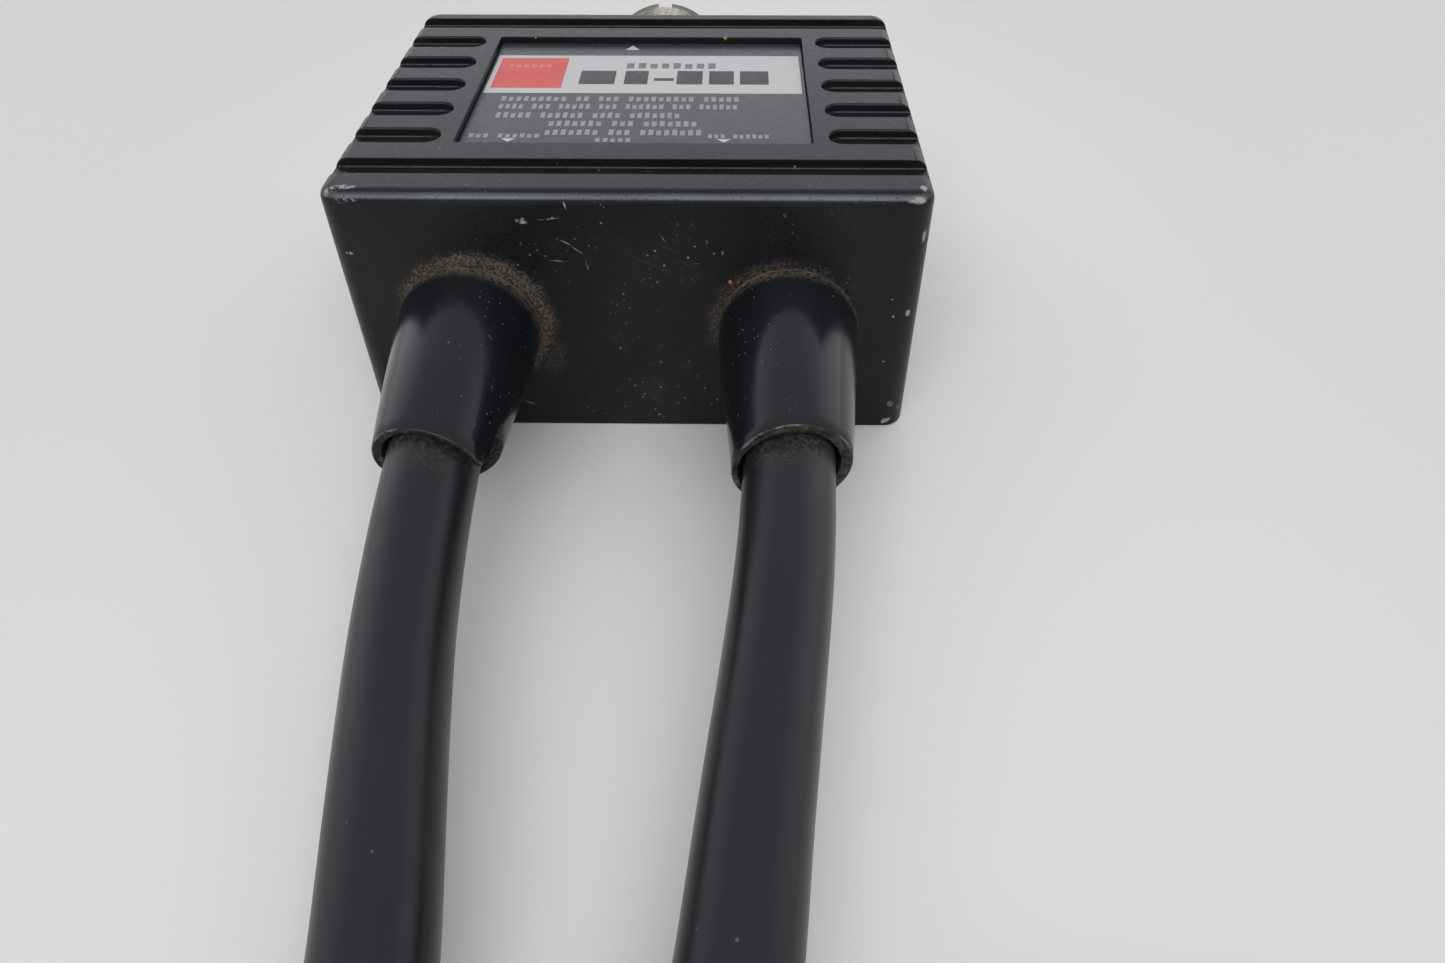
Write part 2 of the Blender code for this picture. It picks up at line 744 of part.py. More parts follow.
def smooth_line(points, start_direction, end_direction, steps=16):
    """A smooth line through every point, as cubic splines with given directions at its ends."""
    points = np.array(points, dtype=float)
    chords = np.linalg.norm(np.diff(points, axis=0), axis=1)
    slopes = np.diff(points, axis=0) / chords[:, None]
    count = len(points)
    system = np.zeros((count, count))
    change = np.zeros((count, 3))
    system[0, :2] = 2 * chords[0], chords[0]
    change[0] = 6 * (slopes[0] - np.array(start_direction))
    for place in range(1, count - 1):
        before, after = chords[place - 1], chords[place]
        system[place, place - 1 : place + 2] = before, 2 * (before + after), after
        change[place] = 6 * (slopes[place] - slopes[place - 1])
    system[-1, -2:] = chords[-1], 2 * chords[-1]
    change[-1] = 6 * (np.array(end_direction) - slopes[-1])
    bends = np.linalg.solve(system, change)
    line = []
    for place, chord in enumerate(chords):
        start, end = points[place], points[place + 1]
        for step in range(steps):
            t = step / steps
            s = 1 - t
            bend = (s**3 - s) * bends[place] + (t**3 - t) * bends[place + 1]
            line.append(Vector(s * start + t * end + bend * chord**2 / 6))
    return [*line, Vector(points[-1])]


def at_distance(line, distance):
    """The point of a line at a distance along it, and the line's direction there."""
    for start, end in zip(line, line[1:]):
        span = (end - start).length
        if distance <= span or end is line[-1]:
            return start + (end - start) * (distance / span), (end - start).normalized()
        distance -= span
    return line[-1], (line[-1] - line[-2]).normalized()


def line_length(line):
    """How long a line is."""
    return sum((end - start).length for start, end in zip(line, line[1:]))


def exit_x(side):
    """Where the lead on a side leaves the case, along X."""
    return LEAD_SHIFT + side * LEAD_SPREAD / 2


def plug_entry(side, place):
    """The middle of a plug's cable hole, from where its lead leaves the case."""
    return Vector((exit_x(side) + place[0], FRONT + place[1], PLUG_HEIGHT))


def lead_line(side, route, plug_place):
    """The middle line of a lead, a point every few diameters, from its cut end to its plug."""
    start_x = exit_x(side)
    inside = Vector((start_x, INNER_FRONT + CABLE_END_INSET, LEAD_HEIGHT))
    rise = LEAD_HEIGHT - FLOOR_HEIGHT
    points = [inside]
    points += [
        Vector((start_x + across, FRONT + along, FLOOR_HEIGHT + share * rise))
        for across, along, share in route
    ]
    entry = plug_entry(side, plug_place)
    line = smooth_line([*points, entry], FORWARD, BACKWARD)
    total = line_length(line)
    spans = math.ceil(total / (CABLE_POINT_SPACING * CABLE_DIAMETER))
    even = [at_distance(line, total * place / spans)[0] for place in range(spans + 1)]
    return [*even, entry + Vector((0, PLUG_CABLE_DEPTH - GAP, 0))]


def make_lead(name, line, finish):
    """The jacket of a lead as a smooth tube."""
    tube = wire(f"cable_{name}", line, CABLE_RADIUS, finish, CABLE_SIDES_RESOLUTION)
    tube.data.splines[0].use_smooth = True


def boot_reach(cut, angle):
    """How far the cut end of a boot reaches past its length, at an angle round the lead."""
    turn = math.degrees(angle) % 360
    places = [*cut, (cut[0][0] + 360, cut[0][1])]
    for (start, before), (end, after) in zip(places, places[1:]):
        if turn <= end:
            return before + (after - before) * max(0.0, turn - start) / (end - start)
    return places[-1][1]


def boot_ring(line, face_distance, distance, radius, cut=None):
    """One ring of a boot, square to the lead, or pushed along it to the cut end."""
    centre, along = at_distance(line, face_distance + distance)
    across = Vector((0, 0, 1)).cross(along).normalized()
    up = along.cross(across)
    points = []
    for step in range(BOOT_SIDES):
        angle = 2 * math.pi * step / BOOT_SIDES
        spoke = across * math.cos(angle) + up * math.sin(angle)
        reach = boot_reach(cut, angle) if cut else 0.0
        points.append(centre + spoke * radius + along * reach)
    return points


def boot_outer_radius(distance):
    """The boot's outer radius at a distance from the wall."""
    share = min(1.0, distance / BOOT_LENGTH)
    return BOOT_BASE_RADIUS - (BOOT_BASE_RADIUS - BOOT_RIM_RADIUS) * share**BOOT_TAPER


def make_boot(name, line, cut, finish):
    """A tapered boot: its neck passes the wall and ends in a flange inside the case."""
    bore = CABLE_RADIUS + BOOT_CLEARANCE
    neck = bore + BOOT_NECK_WALL
    flange = neck + BOOT_FLANGE_WIDTH
    inner_face = -(WALL + GAP)
    inner_end = inner_face - BOOT_FLANGE_THICKNESS
    face_distance = WALL + CABLE_END_INSET
    outer = [(GAP, BOOT_BASE_RADIUS - BOOT_BASE_ROUND), (GAP + BOOT_BASE_ROUND, BOOT_BASE_RADIUS)]
    outer += [
        (BOOT_LENGTH * share, boot_outer_radius(BOOT_LENGTH * share))
        for share in (0.2, 0.4, 0.6, 0.75)
    ]
    inner = [(BOOT_LENGTH * share, bore) for share in (0.7, 0.45, 0.2)]
    inner += [(0, bore), (inner_end, bore), (inner_end, flange), (inner_face, flange)]
    inner += [(inner_face, neck), (GAP, neck)]
    rings = [boot_ring(line, face_distance, *place) for place in outer]
    for radius in (BOOT_RIM_RADIUS, bore):
        rings.append(boot_ring(line, face_distance, BOOT_LENGTH, radius, cut))
    rings += [boot_ring(line, face_distance, *place) for place in inner]
    mesh = mesh_from(stack_of_rings(rings, closed=True), f"boot_{name}", 40)
    add_object(f"boot_{name}", mesh, finish)


def make_lead_end(name, side, clamp_finish, dielectric_finish, copper_finish):
    """Inside the case: the clamp on the jacket, the bared dielectric and the core down to the board."""
    middle = exit_x(side)
    hole = CABLE_RADIUS + GAP
    outer = hole + CLAMP_THICKNESS
    band = turned(
        [
            (hole, 0),
            (outer, 0),
            (outer, CLAMP_LENGTH),
            (hole, CLAMP_LENGTH),
        ],
        BOOT_SIDES,
        closed=True,
    )
    start = Vector((middle, INNER_FRONT + CLAMP_INSET, LEAD_HEIGHT))
    band_mesh = mesh_from(aimed(band, ALONG_Y, start), "clamp")
    foot = slab(
        CLAMP_FOOT_WIDTH,
        CLAMP_LENGTH,
        BOARD_SEAT,
        LEAD_HEIGHT - hole - CLAMP_THICKNESS / 2,
        centre=(middle, start.y + CLAMP_LENGTH / 2),
    )
    mesh = combine(band_mesh, [foot], "UNION")
    shade_by_angle(mesh)
    add_object(f"cable_clamp_{name}", mesh, clamp_finish)

    cut_end = INNER_FRONT + CABLE_END_INSET + GAP
    bore = CORE_RADIUS + GAP
    sleeve = turned(
        [
            (bore, 0),
            (DIELECTRIC_RADIUS, 0),
            (DIELECTRIC_RADIUS, DIELECTRIC_LENGTH),
            (bore, DIELECTRIC_LENGTH),
        ],
        SCREW_SIDES,
        closed=True,
    )
    mesh = mesh_from(sleeve, f"dielectric_{name}", 40)
    place = (middle, cut_end, LEAD_HEIGHT)
    add_object(f"dielectric_{name}", mesh, dielectric_finish, place, FACING_REAR)

    bared = cut_end + DIELECTRIC_LENGTH
    drop = LEAD_HEIGHT - BOARD_SEAT
    core_route = smooth_line(
        [
            (middle, cut_end + GAP, LEAD_HEIGHT),
            (middle, bared, LEAD_HEIGHT),
            (middle, bared + drop * 0.26, LEAD_HEIGHT - drop * 0.14),
            (middle, bared + drop * 0.36, LEAD_HEIGHT - drop * 0.45),
            (middle, bared + drop * 0.37, BOARD_SEAT),
        ],
        BACKWARD,
        DOWNWARD,
        steps=3,
    )
    wire(f"core_wire_{name}", core_route, CORE_RADIUS, copper_finish)


# Antenna socket


def socket_shell_mesh():
    """Square flange and barrel in one piece, bored through, with a lip behind and four notches in front."""
    mouth = SOCKET_FLANGE_THICKNESS + SOCKET_BARREL_LENGTH
    barrel = turned(
        [
            (0, SOCKET_FLANGE_THICKNESS / 2),
            (SOCKET_BARREL_RADIUS, SOCKET_FLANGE_THICKNESS / 2),
            (SOCKET_BARREL_RADIUS, mouth - GAP),
            (SOCKET_BARREL_RADIUS - GAP, mouth),
            (0, mouth),
        ],
        ROUND_SIDES,
    )
    flange = slab(
        SOCKET_FLANGE, SOCKET_FLANGE, 0, SOCKET_FLANGE_THICKNESS, SOCKET_FLANGE_CORNER
    )
    mesh = combine(mesh_from(flange, "socket_shell"), [barrel], "UNION")
    bore = turned(
        [
            (0, -SOCKET_LIP_LENGTH),
            (SOCKET_LIP_RADIUS, -SOCKET_LIP_LENGTH),
            (SOCKET_LIP_RADIUS, SOCKET_LIP_LENGTH),
            (SOCKET_BORE_RADIUS, SOCKET_LIP_LENGTH),
            (SOCKET_BORE_RADIUS, mouth * 1.2),
            (0, mouth * 1.2),
        ],
        ROUND_SIDES,
    )
    reach = SOCKET_BARREL_RADIUS * 3
    top = mouth + SOCKET_NOTCH_DEPTH
    notches = [
        slab(reach, SOCKET_NOTCH_WIDTH, mouth - SOCKET_NOTCH_DEPTH, top),
        slab(SOCKET_NOTCH_WIDTH, reach, mouth - SOCKET_NOTCH_DEPTH, top),
    ]
    half = SOCKET_SCREW_PITCH / 2
    holes = [
        rod(SOCKET_SCREW_RADIUS + GAP, -WALL, 2 * WALL, place)
        for place in corner_places(half, half)
    ]
    mesh = combine(mesh, [bore, *notches, *holes], "DIFFERENCE")
    shade_by_angle(mesh)
    return mesh


def socket_contact_mesh():
    """The centre contact: a slit tube in front and a solder cup behind."""
    mouth = SOCKET_FLANGE_THICKNESS + SOCKET_BARREL_LENGTH - SOCKET_CONTACT_RECESS
    shoulder = -SOCKET_TAIL_LENGTH - GAP
    cup_end = shoulder - SOCKET_CUP_LENGTH
    bottom = mouth - SOCKET_CONTACT_BORE_DEPTH
    contact = turned(
        [
            (0, shoulder - GAP),
            (SOCKET_CUP_BORE, shoulder - GAP),
            (SOCKET_CUP_BORE, cup_end),
            (SOCKET_CUP_RADIUS, cup_end),
            (SOCKET_CUP_RADIUS, shoulder),
            (SOCKET_CONTACT_RADIUS, shoulder),
            (SOCKET_CONTACT_RADIUS, mouth),
            (SOCKET_CONTACT_BORE, mouth),
            (SOCKET_CONTACT_BORE, bottom),
            (0, bottom),
        ],
        16,
    )
    mesh = mesh_from(contact, "socket_contact")
    reach = SOCKET_CONTACT_RADIUS * 3
    slit_bottom = bottom + SOCKET_CONTACT_BORE_DEPTH * 0.15
    slits = [
        slab(reach, SOCKET_SLIT_WIDTH, slit_bottom, mouth * 1.2),
        slab(SOCKET_SLIT_WIDTH, reach, slit_bottom, mouth * 1.2),
    ]
    mesh = combine(mesh, slits, "DIFFERENCE")
    shade_by_angle(mesh)
    return mesh


def make_socket(shell_finish, insulator_finish, contact_finish, screw_finish, copper_finish):
    """The antenna socket on the rear wall, its four screws and the wire down to the board."""
    face = (0, REAR + GAP, SOCKET_HEIGHT)
    add_object("socket_shell", socket_shell_mesh(), shell_finish, face, FACING_REAR)
    hole = SOCKET_CONTACT_RADIUS + GAP
    seat = SOCKET_LIP_LENGTH + GAP
    front = seat + SOCKET_INSULATOR_LENGTH
    insulator = turned(
        [
            (hole, -SOCKET_TAIL_LENGTH),
            (SOCKET_LIP_RADIUS - GAP, -SOCKET_TAIL_LENGTH),
            (SOCKET_LIP_RADIUS - GAP, seat),
            (SOCKET_BORE_RADIUS - GAP, seat),
            (SOCKET_BORE_RADIUS - GAP, front),
            (hole, front),
        ],
        ROUND_SIDES,
        closed=True,
    )
    mesh = mesh_from(insulator, "socket_insulator", 40)
    add_object("socket_insulator", mesh, insulator_finish, face, FACING_REAR)
    add_object("socket_contact", socket_contact_mesh(), contact_finish, face, FACING_REAR)

    under_head = SOCKET_FLANGE_THICKNESS + GAP
    screw = turned(
        [
            (0, -WALL),
            (SOCKET_SCREW_RADIUS, -WALL),
            (SOCKET_SCREW_RADIUS, under_head),
            (SOCKET_SCREW_HEAD_RADIUS, under_head),
            (SOCKET_SCREW_HEAD_RADIUS, under_head + SOCKET_SCREW_HEAD_HEIGHT * 0.5),
            (SOCKET_SCREW_HEAD_RADIUS * 0.8, under_head + SOCKET_SCREW_HEAD_HEIGHT * 0.9),
            (0, under_head + SOCKET_SCREW_HEAD_HEIGHT),
        ],
        SCREW_SIDES,
    )
    mesh = mesh_from(screw, "socket_screw", 35)
    half = SOCKET_SCREW_PITCH / 2
    for number, (across, up) in enumerate(corner_places(half, half), 1):
        place = (across, REAR + GAP, SOCKET_HEIGHT + up)
        add_object(f"socket_screw_{number}", mesh, screw_finish, place, FACING_REAR)

    cup_end = REAR + GAP - SOCKET_TAIL_LENGTH - GAP - SOCKET_CUP_LENGTH
    drop = SOCKET_HEIGHT - BOARD_SEAT
    route = smooth_line(
        [
            (0, cup_end + SOCKET_CUP_LENGTH / 2, SOCKET_HEIGHT),
            (0, cup_end, SOCKET_HEIGHT),
            (0, cup_end - drop * 0.17, SOCKET_HEIGHT - drop * 0.12),
            (0, cup_end - drop * 0.26, SOCKET_HEIGHT - drop * 0.42),
            (0, cup_end - drop * 0.27, BOARD_SEAT),
        ],
        FORWARD,
        DOWNWARD,
        steps=3,
    )
    wire("antenna_wire", route, SOCKET_CUP_BORE - GAP, copper_finish)


# Plugs


def plug_body_mesh():
    """The plug's body: rear sleeve, shoulder behind the ring's thread, and a nose with teeth."""
    shoulder = PLUG_SLEEVE_LENGTH
    nose = shoulder + PLUG_SHOULDER_LENGTH
    front = nose + PLUG_NOSE_LENGTH
    cable_hole = CABLE_RADIUS + GAP
    cup = PLUG_NOSE_RADIUS - PLUG_NOSE_WALL
    cup_bottom = front - PLUG_INSULATOR_RECESS - PLUG_INSULATOR_LENGTH - GAP
    body = turned(
        [
            (cable_hole, 0),
            (PLUG_SLEEVE_RADIUS - GAP, 0),
            (PLUG_SLEEVE_RADIUS, GAP),
            (PLUG_SLEEVE_RADIUS, shoulder),
            (PLUG_SHOULDER_RADIUS, shoulder),
            (PLUG_SHOULDER_RADIUS, nose),
            (PLUG_NOSE_RADIUS, nose),
            (PLUG_NOSE_RADIUS, front),
            (cup, front),
            (cup, cup_bottom),
            (PLUG_THROAT_RADIUS, cup_bottom),
            (PLUG_THROAT_RADIUS, PLUG_CABLE_DEPTH),
            (cable_hole, PLUG_CABLE_DEPTH),
        ],
        ROUND_SIDES,
        closed=True,
    )
    mesh = mesh_from(body, "plug_body")
    reach = PLUG_NOSE_RADIUS * 3
    teeth = []
    for step in range(4):
        gap = slab(reach, PLUG_TOOTH_GAP, front - PLUG_TOOTH_DEPTH, front + PLUG_TOOTH_DEPTH)
        teeth.append(aimed(gap, Matrix.Rotation(math.pi / 4 * step, 4, "Z"), (0, 0, 0)))
    mesh = combine(mesh, teeth, "DIFFERENCE")
    shade_by_angle(mesh)
    return mesh


def plug_ring_mesh():
    """The coupling ring: a lip that turns on the sleeve, and a threaded mouth round the nose."""
    bore = PLUG_SLEEVE_RADIUS + GAP
    chamfer = PLUG_RING_CHAMFER
    lip = PLUG_RING_LIP
    outer = PLUG_RING_RADIUS
    ring = turned(
        [
            (bore, 0),
            (outer - chamfer, 0),
            (outer, chamfer),
            (outer, PLUG_RING_LENGTH - chamfer),
            (outer - chamfer / 2, PLUG_RING_LENGTH),
            (PLUG_RING_THREAD_RADIUS, PLUG_RING_LENGTH),
            (PLUG_RING_THREAD_RADIUS, lip),
            (bore, lip),
        ],
        ROUND_SIDES,
        closed=True,
    )
    return mesh_from(ring, "plug_ring", 40)


def make_plug(name, entry, shell_finish, insulator_finish, contact_finish):
    """A cable plug lying on its coupling ring: body, ring, insulator and centre pin."""
    front = PLUG_SLEEVE_LENGTH + PLUG_SHOULDER_LENGTH + PLUG_NOSE_LENGTH
    add_object(f"plug_body_{name}", plug_body_mesh(), shell_finish, entry, FACING_REAR)
    ring_start = PLUG_SLEEVE_LENGTH - GAP - PLUG_RING_LIP
    place = entry + Vector((0, ring_start, 0))
    add_object(f"plug_ring_{name}", plug_ring_mesh(), shell_finish, place, FACING_REAR)

    hole = PLUG_PIN_RADIUS + GAP
    outer = PLUG_NOSE_RADIUS - PLUG_NOSE_WALL - GAP
    insulator = turned(
        [
            (hole, 0),
            (outer, 0),
            (outer, PLUG_INSULATOR_LENGTH),
            (hole, PLUG_INSULATOR_LENGTH),
        ],
        ROUND_SIDES,
        closed=True,
    )
    mesh = mesh_from(insulator, f"plug_insulator_{name}", 40)
    start = front - PLUG_INSULATOR_RECESS - PLUG_INSULATOR_LENGTH
    place = entry + Vector((0, start, 0))
    add_object(f"plug_insulator_{name}", mesh, insulator_finish, place, FACING_REAR)

    length = PLUG_PIN_TAIL + PLUG_INSULATOR_LENGTH + PLUG_INSULATOR_RECESS + PLUG_PIN_REACH
    round_start = length - PLUG_PIN_RADIUS
    tip = [
        (
            PLUG_PIN_RADIUS * math.cos(math.radians(angle)),
            round_start + PLUG_PIN_RADIUS * math.sin(math.radians(angle)),
        )
        for angle in (0, 30, 60)
    ]
    pin = turned([(0, 0), (PLUG_PIN_RADIUS, 0), *tip, (0, length)], SCREW_SIDES)
    mesh = mesh_from(pin, f"plug_pin_{name}", 40)
    place = entry + Vector((0, start - PLUG_PIN_TAIL, 0))
    add_object(f"plug_pin_{name}", mesh, contact_finish, place, FACING_REAR)


def main():
    clear_scene()
    black_paint = surface("satin_black_paint", (0.022, 0.022, 0.024), 0.38)
    label_print = surface("printed_label", (0.070, 0.072, 0.076), 0.45)
    black_vinyl = surface("glossy_black_vinyl", (0.012, 0.012, 0.014), 0.22)
    cable_jacket = surface("satin_black_jacket", (0.018, 0.018, 0.020), 0.40)
    nickel = surface("nickel_plating", (0.56, 0.53, 0.48), 0.28, 1.0)
    steel = surface("zinc_plated_steel", (0.50, 0.50, 0.50), 0.35, 1.0)
    brass = surface("silvered_brass", (0.66, 0.62, 0.52), 0.30, 1.0)
    white_resin = surface("white_insulator", (0.72, 0.70, 0.64), 0.45)
    brown_resin = surface("brown_phenolic", (0.13, 0.045, 0.018), 0.45)
    copper = surface("enamelled_copper", (0.60, 0.24, 0.10), 0.30, 1.0)
    ceramic = surface("ceramic_tan", (0.52, 0.30, 0.13), 0.55)
    laminate = surface("board_laminate", (0.24, 0.17, 0.06), 0.55)

    make_case(black_paint)
    make_label(label_print)
    make_cover(black_paint, steel)
    make_board(laminate, steel)
    make_filters(copper, ceramic, steel)
    make_socket(nickel, white_resin, brass, steel, copper)

    leads = (
        ("left", -1, LEFT_ROUTE, LEFT_PLUG, LEFT_CUT),
        ("right", 1, RIGHT_ROUTE, RIGHT_PLUG, RIGHT_CUT),
    )
    for name, side, route, plug_place, cut in leads:
        line = lead_line(side, route, plug_place)
        make_lead(name, line, cable_jacket)
        make_boot(name, line, cut, black_vinyl)
        make_lead_end(name, side, steel, white_resin, copper)
        make_plug(name, plug_entry(side, plug_place), nickel, brown_resin, brass)


main()
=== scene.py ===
"""Looks of the antenna duplexer: finishes, print, fine forms, leads, floor, light and camera.

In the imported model's frame: +Z up, +X to the right, the leads leave towards -Y. Sizes and places are
millimetres; to_mesh and fine_piece turn them into Blender's metres.
"""

from math import copysign, cos, degrees, pi, radians, sin

import bmesh
import bpy
import numpy as np
from mathutils import Matrix, Vector, noise


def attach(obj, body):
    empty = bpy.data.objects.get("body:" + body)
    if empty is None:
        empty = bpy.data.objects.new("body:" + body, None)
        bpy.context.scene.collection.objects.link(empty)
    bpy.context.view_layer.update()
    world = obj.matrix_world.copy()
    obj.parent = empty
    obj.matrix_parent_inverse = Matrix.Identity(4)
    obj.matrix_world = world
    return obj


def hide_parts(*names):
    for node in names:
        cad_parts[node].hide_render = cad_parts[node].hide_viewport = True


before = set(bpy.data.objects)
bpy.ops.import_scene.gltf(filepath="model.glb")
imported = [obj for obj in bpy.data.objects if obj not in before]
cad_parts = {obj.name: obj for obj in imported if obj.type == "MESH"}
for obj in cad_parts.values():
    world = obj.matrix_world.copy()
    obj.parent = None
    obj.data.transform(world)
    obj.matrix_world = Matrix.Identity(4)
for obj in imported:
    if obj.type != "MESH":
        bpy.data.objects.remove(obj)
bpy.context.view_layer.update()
scene = bpy.context.scene
MM = 0.001
GAP = 0.3

# Case
WIDTH, DEPTH, HEIGHT = 54.0, 44.35, 26.0
FRONT, REAR = -DEPTH / 2, DEPTH / 2
WALL = 2.2
ROOF = 2.8
RIM = 1.2
REBATE = 1.8
CORNER_RADIUS = 2.0
TOP_EDGE_RADIUS = 1.2
CAVITY_CORNER = 1.2
GROOVE_WIDTH = 2.9
GROOVE_DEPTH = 0.9
FRONT_RIB, FRONT_LAND = 3.7, 3.3
REAR_RIB, REAR_LAND = 2.35, 2.8
RECESS_WIDTH = 33.6
RECESS_DEPTH = 1.3
RECESS_BORDER = 1.5
RECESS_LENGTH = DEPTH - FRONT_RIB - FRONT_LAND - REAR_RIB - REAR_LAND - 2 * GROOVE_WIDTH
RECESS_Y = (FRONT_RIB + FRONT_LAND - REAR_RIB - REAR_LAND) / 2
SIDE_GROOVE_PITCH = (RECESS_LENGTH - GROOVE_WIDTH) / 4
BOSS_RADIUS = 2.0
BOSS_X, BOSS_Y = WIDTH / 2 - 4.1, DEPTH / 2 - 5.9
POST_RADIUS = 2.4
POST_X = WIDTH / 2 - WALL - 4.7
BOARD_SEAT = 5.5
LABEL_TOP = HEIGHT - RECESS_DEPTH + 2 * GAP

# Leads and boots
CABLE_RADIUS = 3.8
LEAD_HEIGHT = 12.5
LEAD_SHIFT = -0.4
LEAD_OFFSET = 15.0
FLOOR_HEIGHT = CABLE_RADIUS + GAP / 3
CABLE_END = WALL + 4.5
BOOT_LENGTH = 18.9
BOOT_BASE_RADIUS = 6.6
BOOT_RIM_RADIUS = 4.9
BOOT_TAPER = 1.25
BOOT_BORE = CABLE_RADIUS + 0.45
BOOT_NECK = BOOT_BORE + 0.7

# Antenna socket and plugs
SOCKET_Z = 13.0
SOCKET_PLACE = (0, REAR + GAP, SOCKET_Z)
SOCKET_SCREW_OFFSET = 9.1
SOCKET_SCREW_HOLE = 1.6
SOCKET_SEAT = 1.0
BARREL_RADIUS = 7.95
FLANGE_THICKNESS = 1.6
BARREL_END = FLANGE_THICKNESS + 16.6
THREAD_PITCH = 25.4 / 24
PLUG_HEIGHT = 9.25 + GAP / 3
PLUG_CABLE_DEPTH = 6.0
SLEEVE_LENGTH = 20.5
NOSE_START = SLEEVE_LENGTH + 1.8
NOSE_END = NOSE_START + 7.5
PLUG_INSULATOR_LENGTH = 12.0
PLUG_INSULATOR_START = NOSE_END - PLUG_INSULATOR_LENGTH - 0.8
RING_RADIUS = 9.25
RING_LENGTH = 19.5
RING_LIP = 8.5

# Routes of the leads: across and along from where they leave the front wall, and the share of the
# way up from the floor to that place
LEFT_ROUTE = [
    (0.0, 0.0, 1.00), (0.1, -7.0, 0.98), (0.1, -13.9, 0.93), (0.1, -19.9, 0.84),
    (0.3, -27.4, 0.68), (0.9, -34.9, 0.56), (2.0, -42.9, 0.48), (3.1, -49.9, 0.42),
    (4.2, -57.4, 0.34), (4.3, -66.9, 0.19), (1.5, -77.4, 0.06), (-4.7, -87.9, 0.00),
    (-12.6, -98.4, 0.00), (-20.4, -109.4, 0.00), (-26.6, -122.4, 0.00), (-29.6, -136.9, 0.00),
    (-26.1, -154.3, 0.00), (-16.3, -169.1, 0.00), (-1.5, -178.9, 0.00), (15.9, -182.4, 0.00),
    (33.3, -178.9, 0.00), (48.1, -169.1, 0.05), (58.0, -154.5, 0.28), (63.8, -140.9, 0.53),
]
LEFT_PLUG = (66.4, -127.0)
RIGHT_ROUTE = [
    (0.0, 0.0, 1.00), (-0.2, -7.0, 0.98), (-0.3, -13.9, 0.94), (-0.6, -20.9, 0.86),
    (-1.1, -28.0, 0.76), (-1.9, -35.0, 0.65), (-2.8, -42.0, 0.57), (-3.7, -49.0, 0.50),
    (-4.6, -56.5, 0.44), (-6.2, -65.0, 0.35), (-9.3, -74.0, 0.23), (-13.9, -82.7, 0.10),
    (-20.2, -91.1, 0.02), (-27.6, -98.4, 0.00), (-34.2, -105.9, 0.00), (-41.0, -113.0, 0.00),
    (-47.5, -123.2, 0.00), (-50.6, -136.9, 0.00), (-48.2, -150.4, 0.00), (-40.3, -162.2, 0.00),
    (-28.7, -169.7, 0.00), (-15.1, -172.3, 0.00), (-1.2, -169.5, 0.00), (10.0, -162.0, 0.01),
    (17.7, -150.3, 0.10), (20.4, -136.9, 0.30), (20.4, -121.7, 0.52),
]
RIGHT_PLUG = (20.4, -105.5)
LEADS = (("left", -1, LEFT_ROUTE, LEFT_PLUG), ("right", 1, RIGHT_ROUTE, RIGHT_PLUG))

# Cut ends of the boots: degrees round the lead from the side that faces +X upwards, with how far
# the boot reaches past its length there and how far its rim stands out
LEFT_CUT = [
    (13.5, -3.2, 0.0), (16.5, 0.85, -0.12), (50, 0.58, -0.14), (90, 0.0, -0.12),
    (135, -0.6, 0.0), (180, -0.9, 0.12), (225, -1.4, 0.1), (270, -2.8, 0.0),
    (310, -3.2, 0.0),
]
RIGHT_CUT = [
    (0, -0.8, 0.25), (45, -0.6, 0.32), (90, -0.05, 0.25), (135, 0.5, 0.0),
    (180, 0.75, -0.15), (270, 0.0, -0.1), (330, -0.7, 0.1),
]


# Camera


def make_camera():
    data = bpy.data.cameras.new("camera")
    data.sensor_fit = "HORIZONTAL"
    data.sensor_width = 36.0
    data.lens = 24.85
    data.clip_start = 0.005
    data.clip_end = 20.0
    made = bpy.data.objects.new("camera", data)
    scene.collection.objects.link(made)
    turn = Matrix.Rotation(radians(0.743), 4, "Z")
    turn = turn @ Matrix.Rotation(radians(46.18), 4, "X")
    turn = turn @ Matrix.Rotation(radians(-0.10), 4, "Z")
    place = Matrix.Translation(Vector((9.4, FRONT - 78.7, 67.45)) * MM)
    made.matrix_world = place @ turn
    scene.camera = made


make_camera()


# Lines


def smooth_line(points, start_direction, end_direction, steps=16):
    """A smooth line through every point, as cubic splines with given directions at its ends."""
    points = np.array(points)
    chords = np.linalg.norm(np.diff(points, axis=0), axis=1)
    slopes = np.diff(points, axis=0) / chords[:, None]
    turns = np.diff(np.vstack([start_direction, slopes, end_direction]), axis=0)
    middle = 2 * (np.append(chords, 0) + np.append(0, chords))
    bends = np.linalg.solve(np.diag(middle) + np.diag(chords, 1) + np.diag(chords, -1), 6 * turns)
    t = np.arange(steps)[:, None] / steps
    s = 1 - t
    line = []
    for at, chord in enumerate(chords):
        bend = (s**3 - s) * bends[at] + (t**3 - t) * bends[at + 1]
        line.append(s * points[at] + t * points[at + 1] + bend * chord**2 / 6)
    return np.vstack([*line, points[-1]])


def resample(line, spacing):
    """Points at even distances along a line, with the direction at each."""
    reach = np.append(0, np.cumsum(np.linalg.norm(np.diff(line, axis=0), axis=1)))
    even = np.linspace(0, reach[-1], round(reach[-1] / spacing) + 1)
    places = np.stack([np.interp(even, reach, line[:, axis]) for axis in range(3)], axis=1)
    slopes = np.gradient(places, axis=0)
    slopes /= np.linalg.norm(slopes, axis=1)[:, None]
    return even, places, slopes


def exit_x(side):
    return LEAD_SHIFT + side * LEAD_OFFSET


def plug_entry(side, plug_place):
    return Vector((exit_x(side) + plug_place[0], FRONT + plug_place[1], PLUG_HEIGHT))


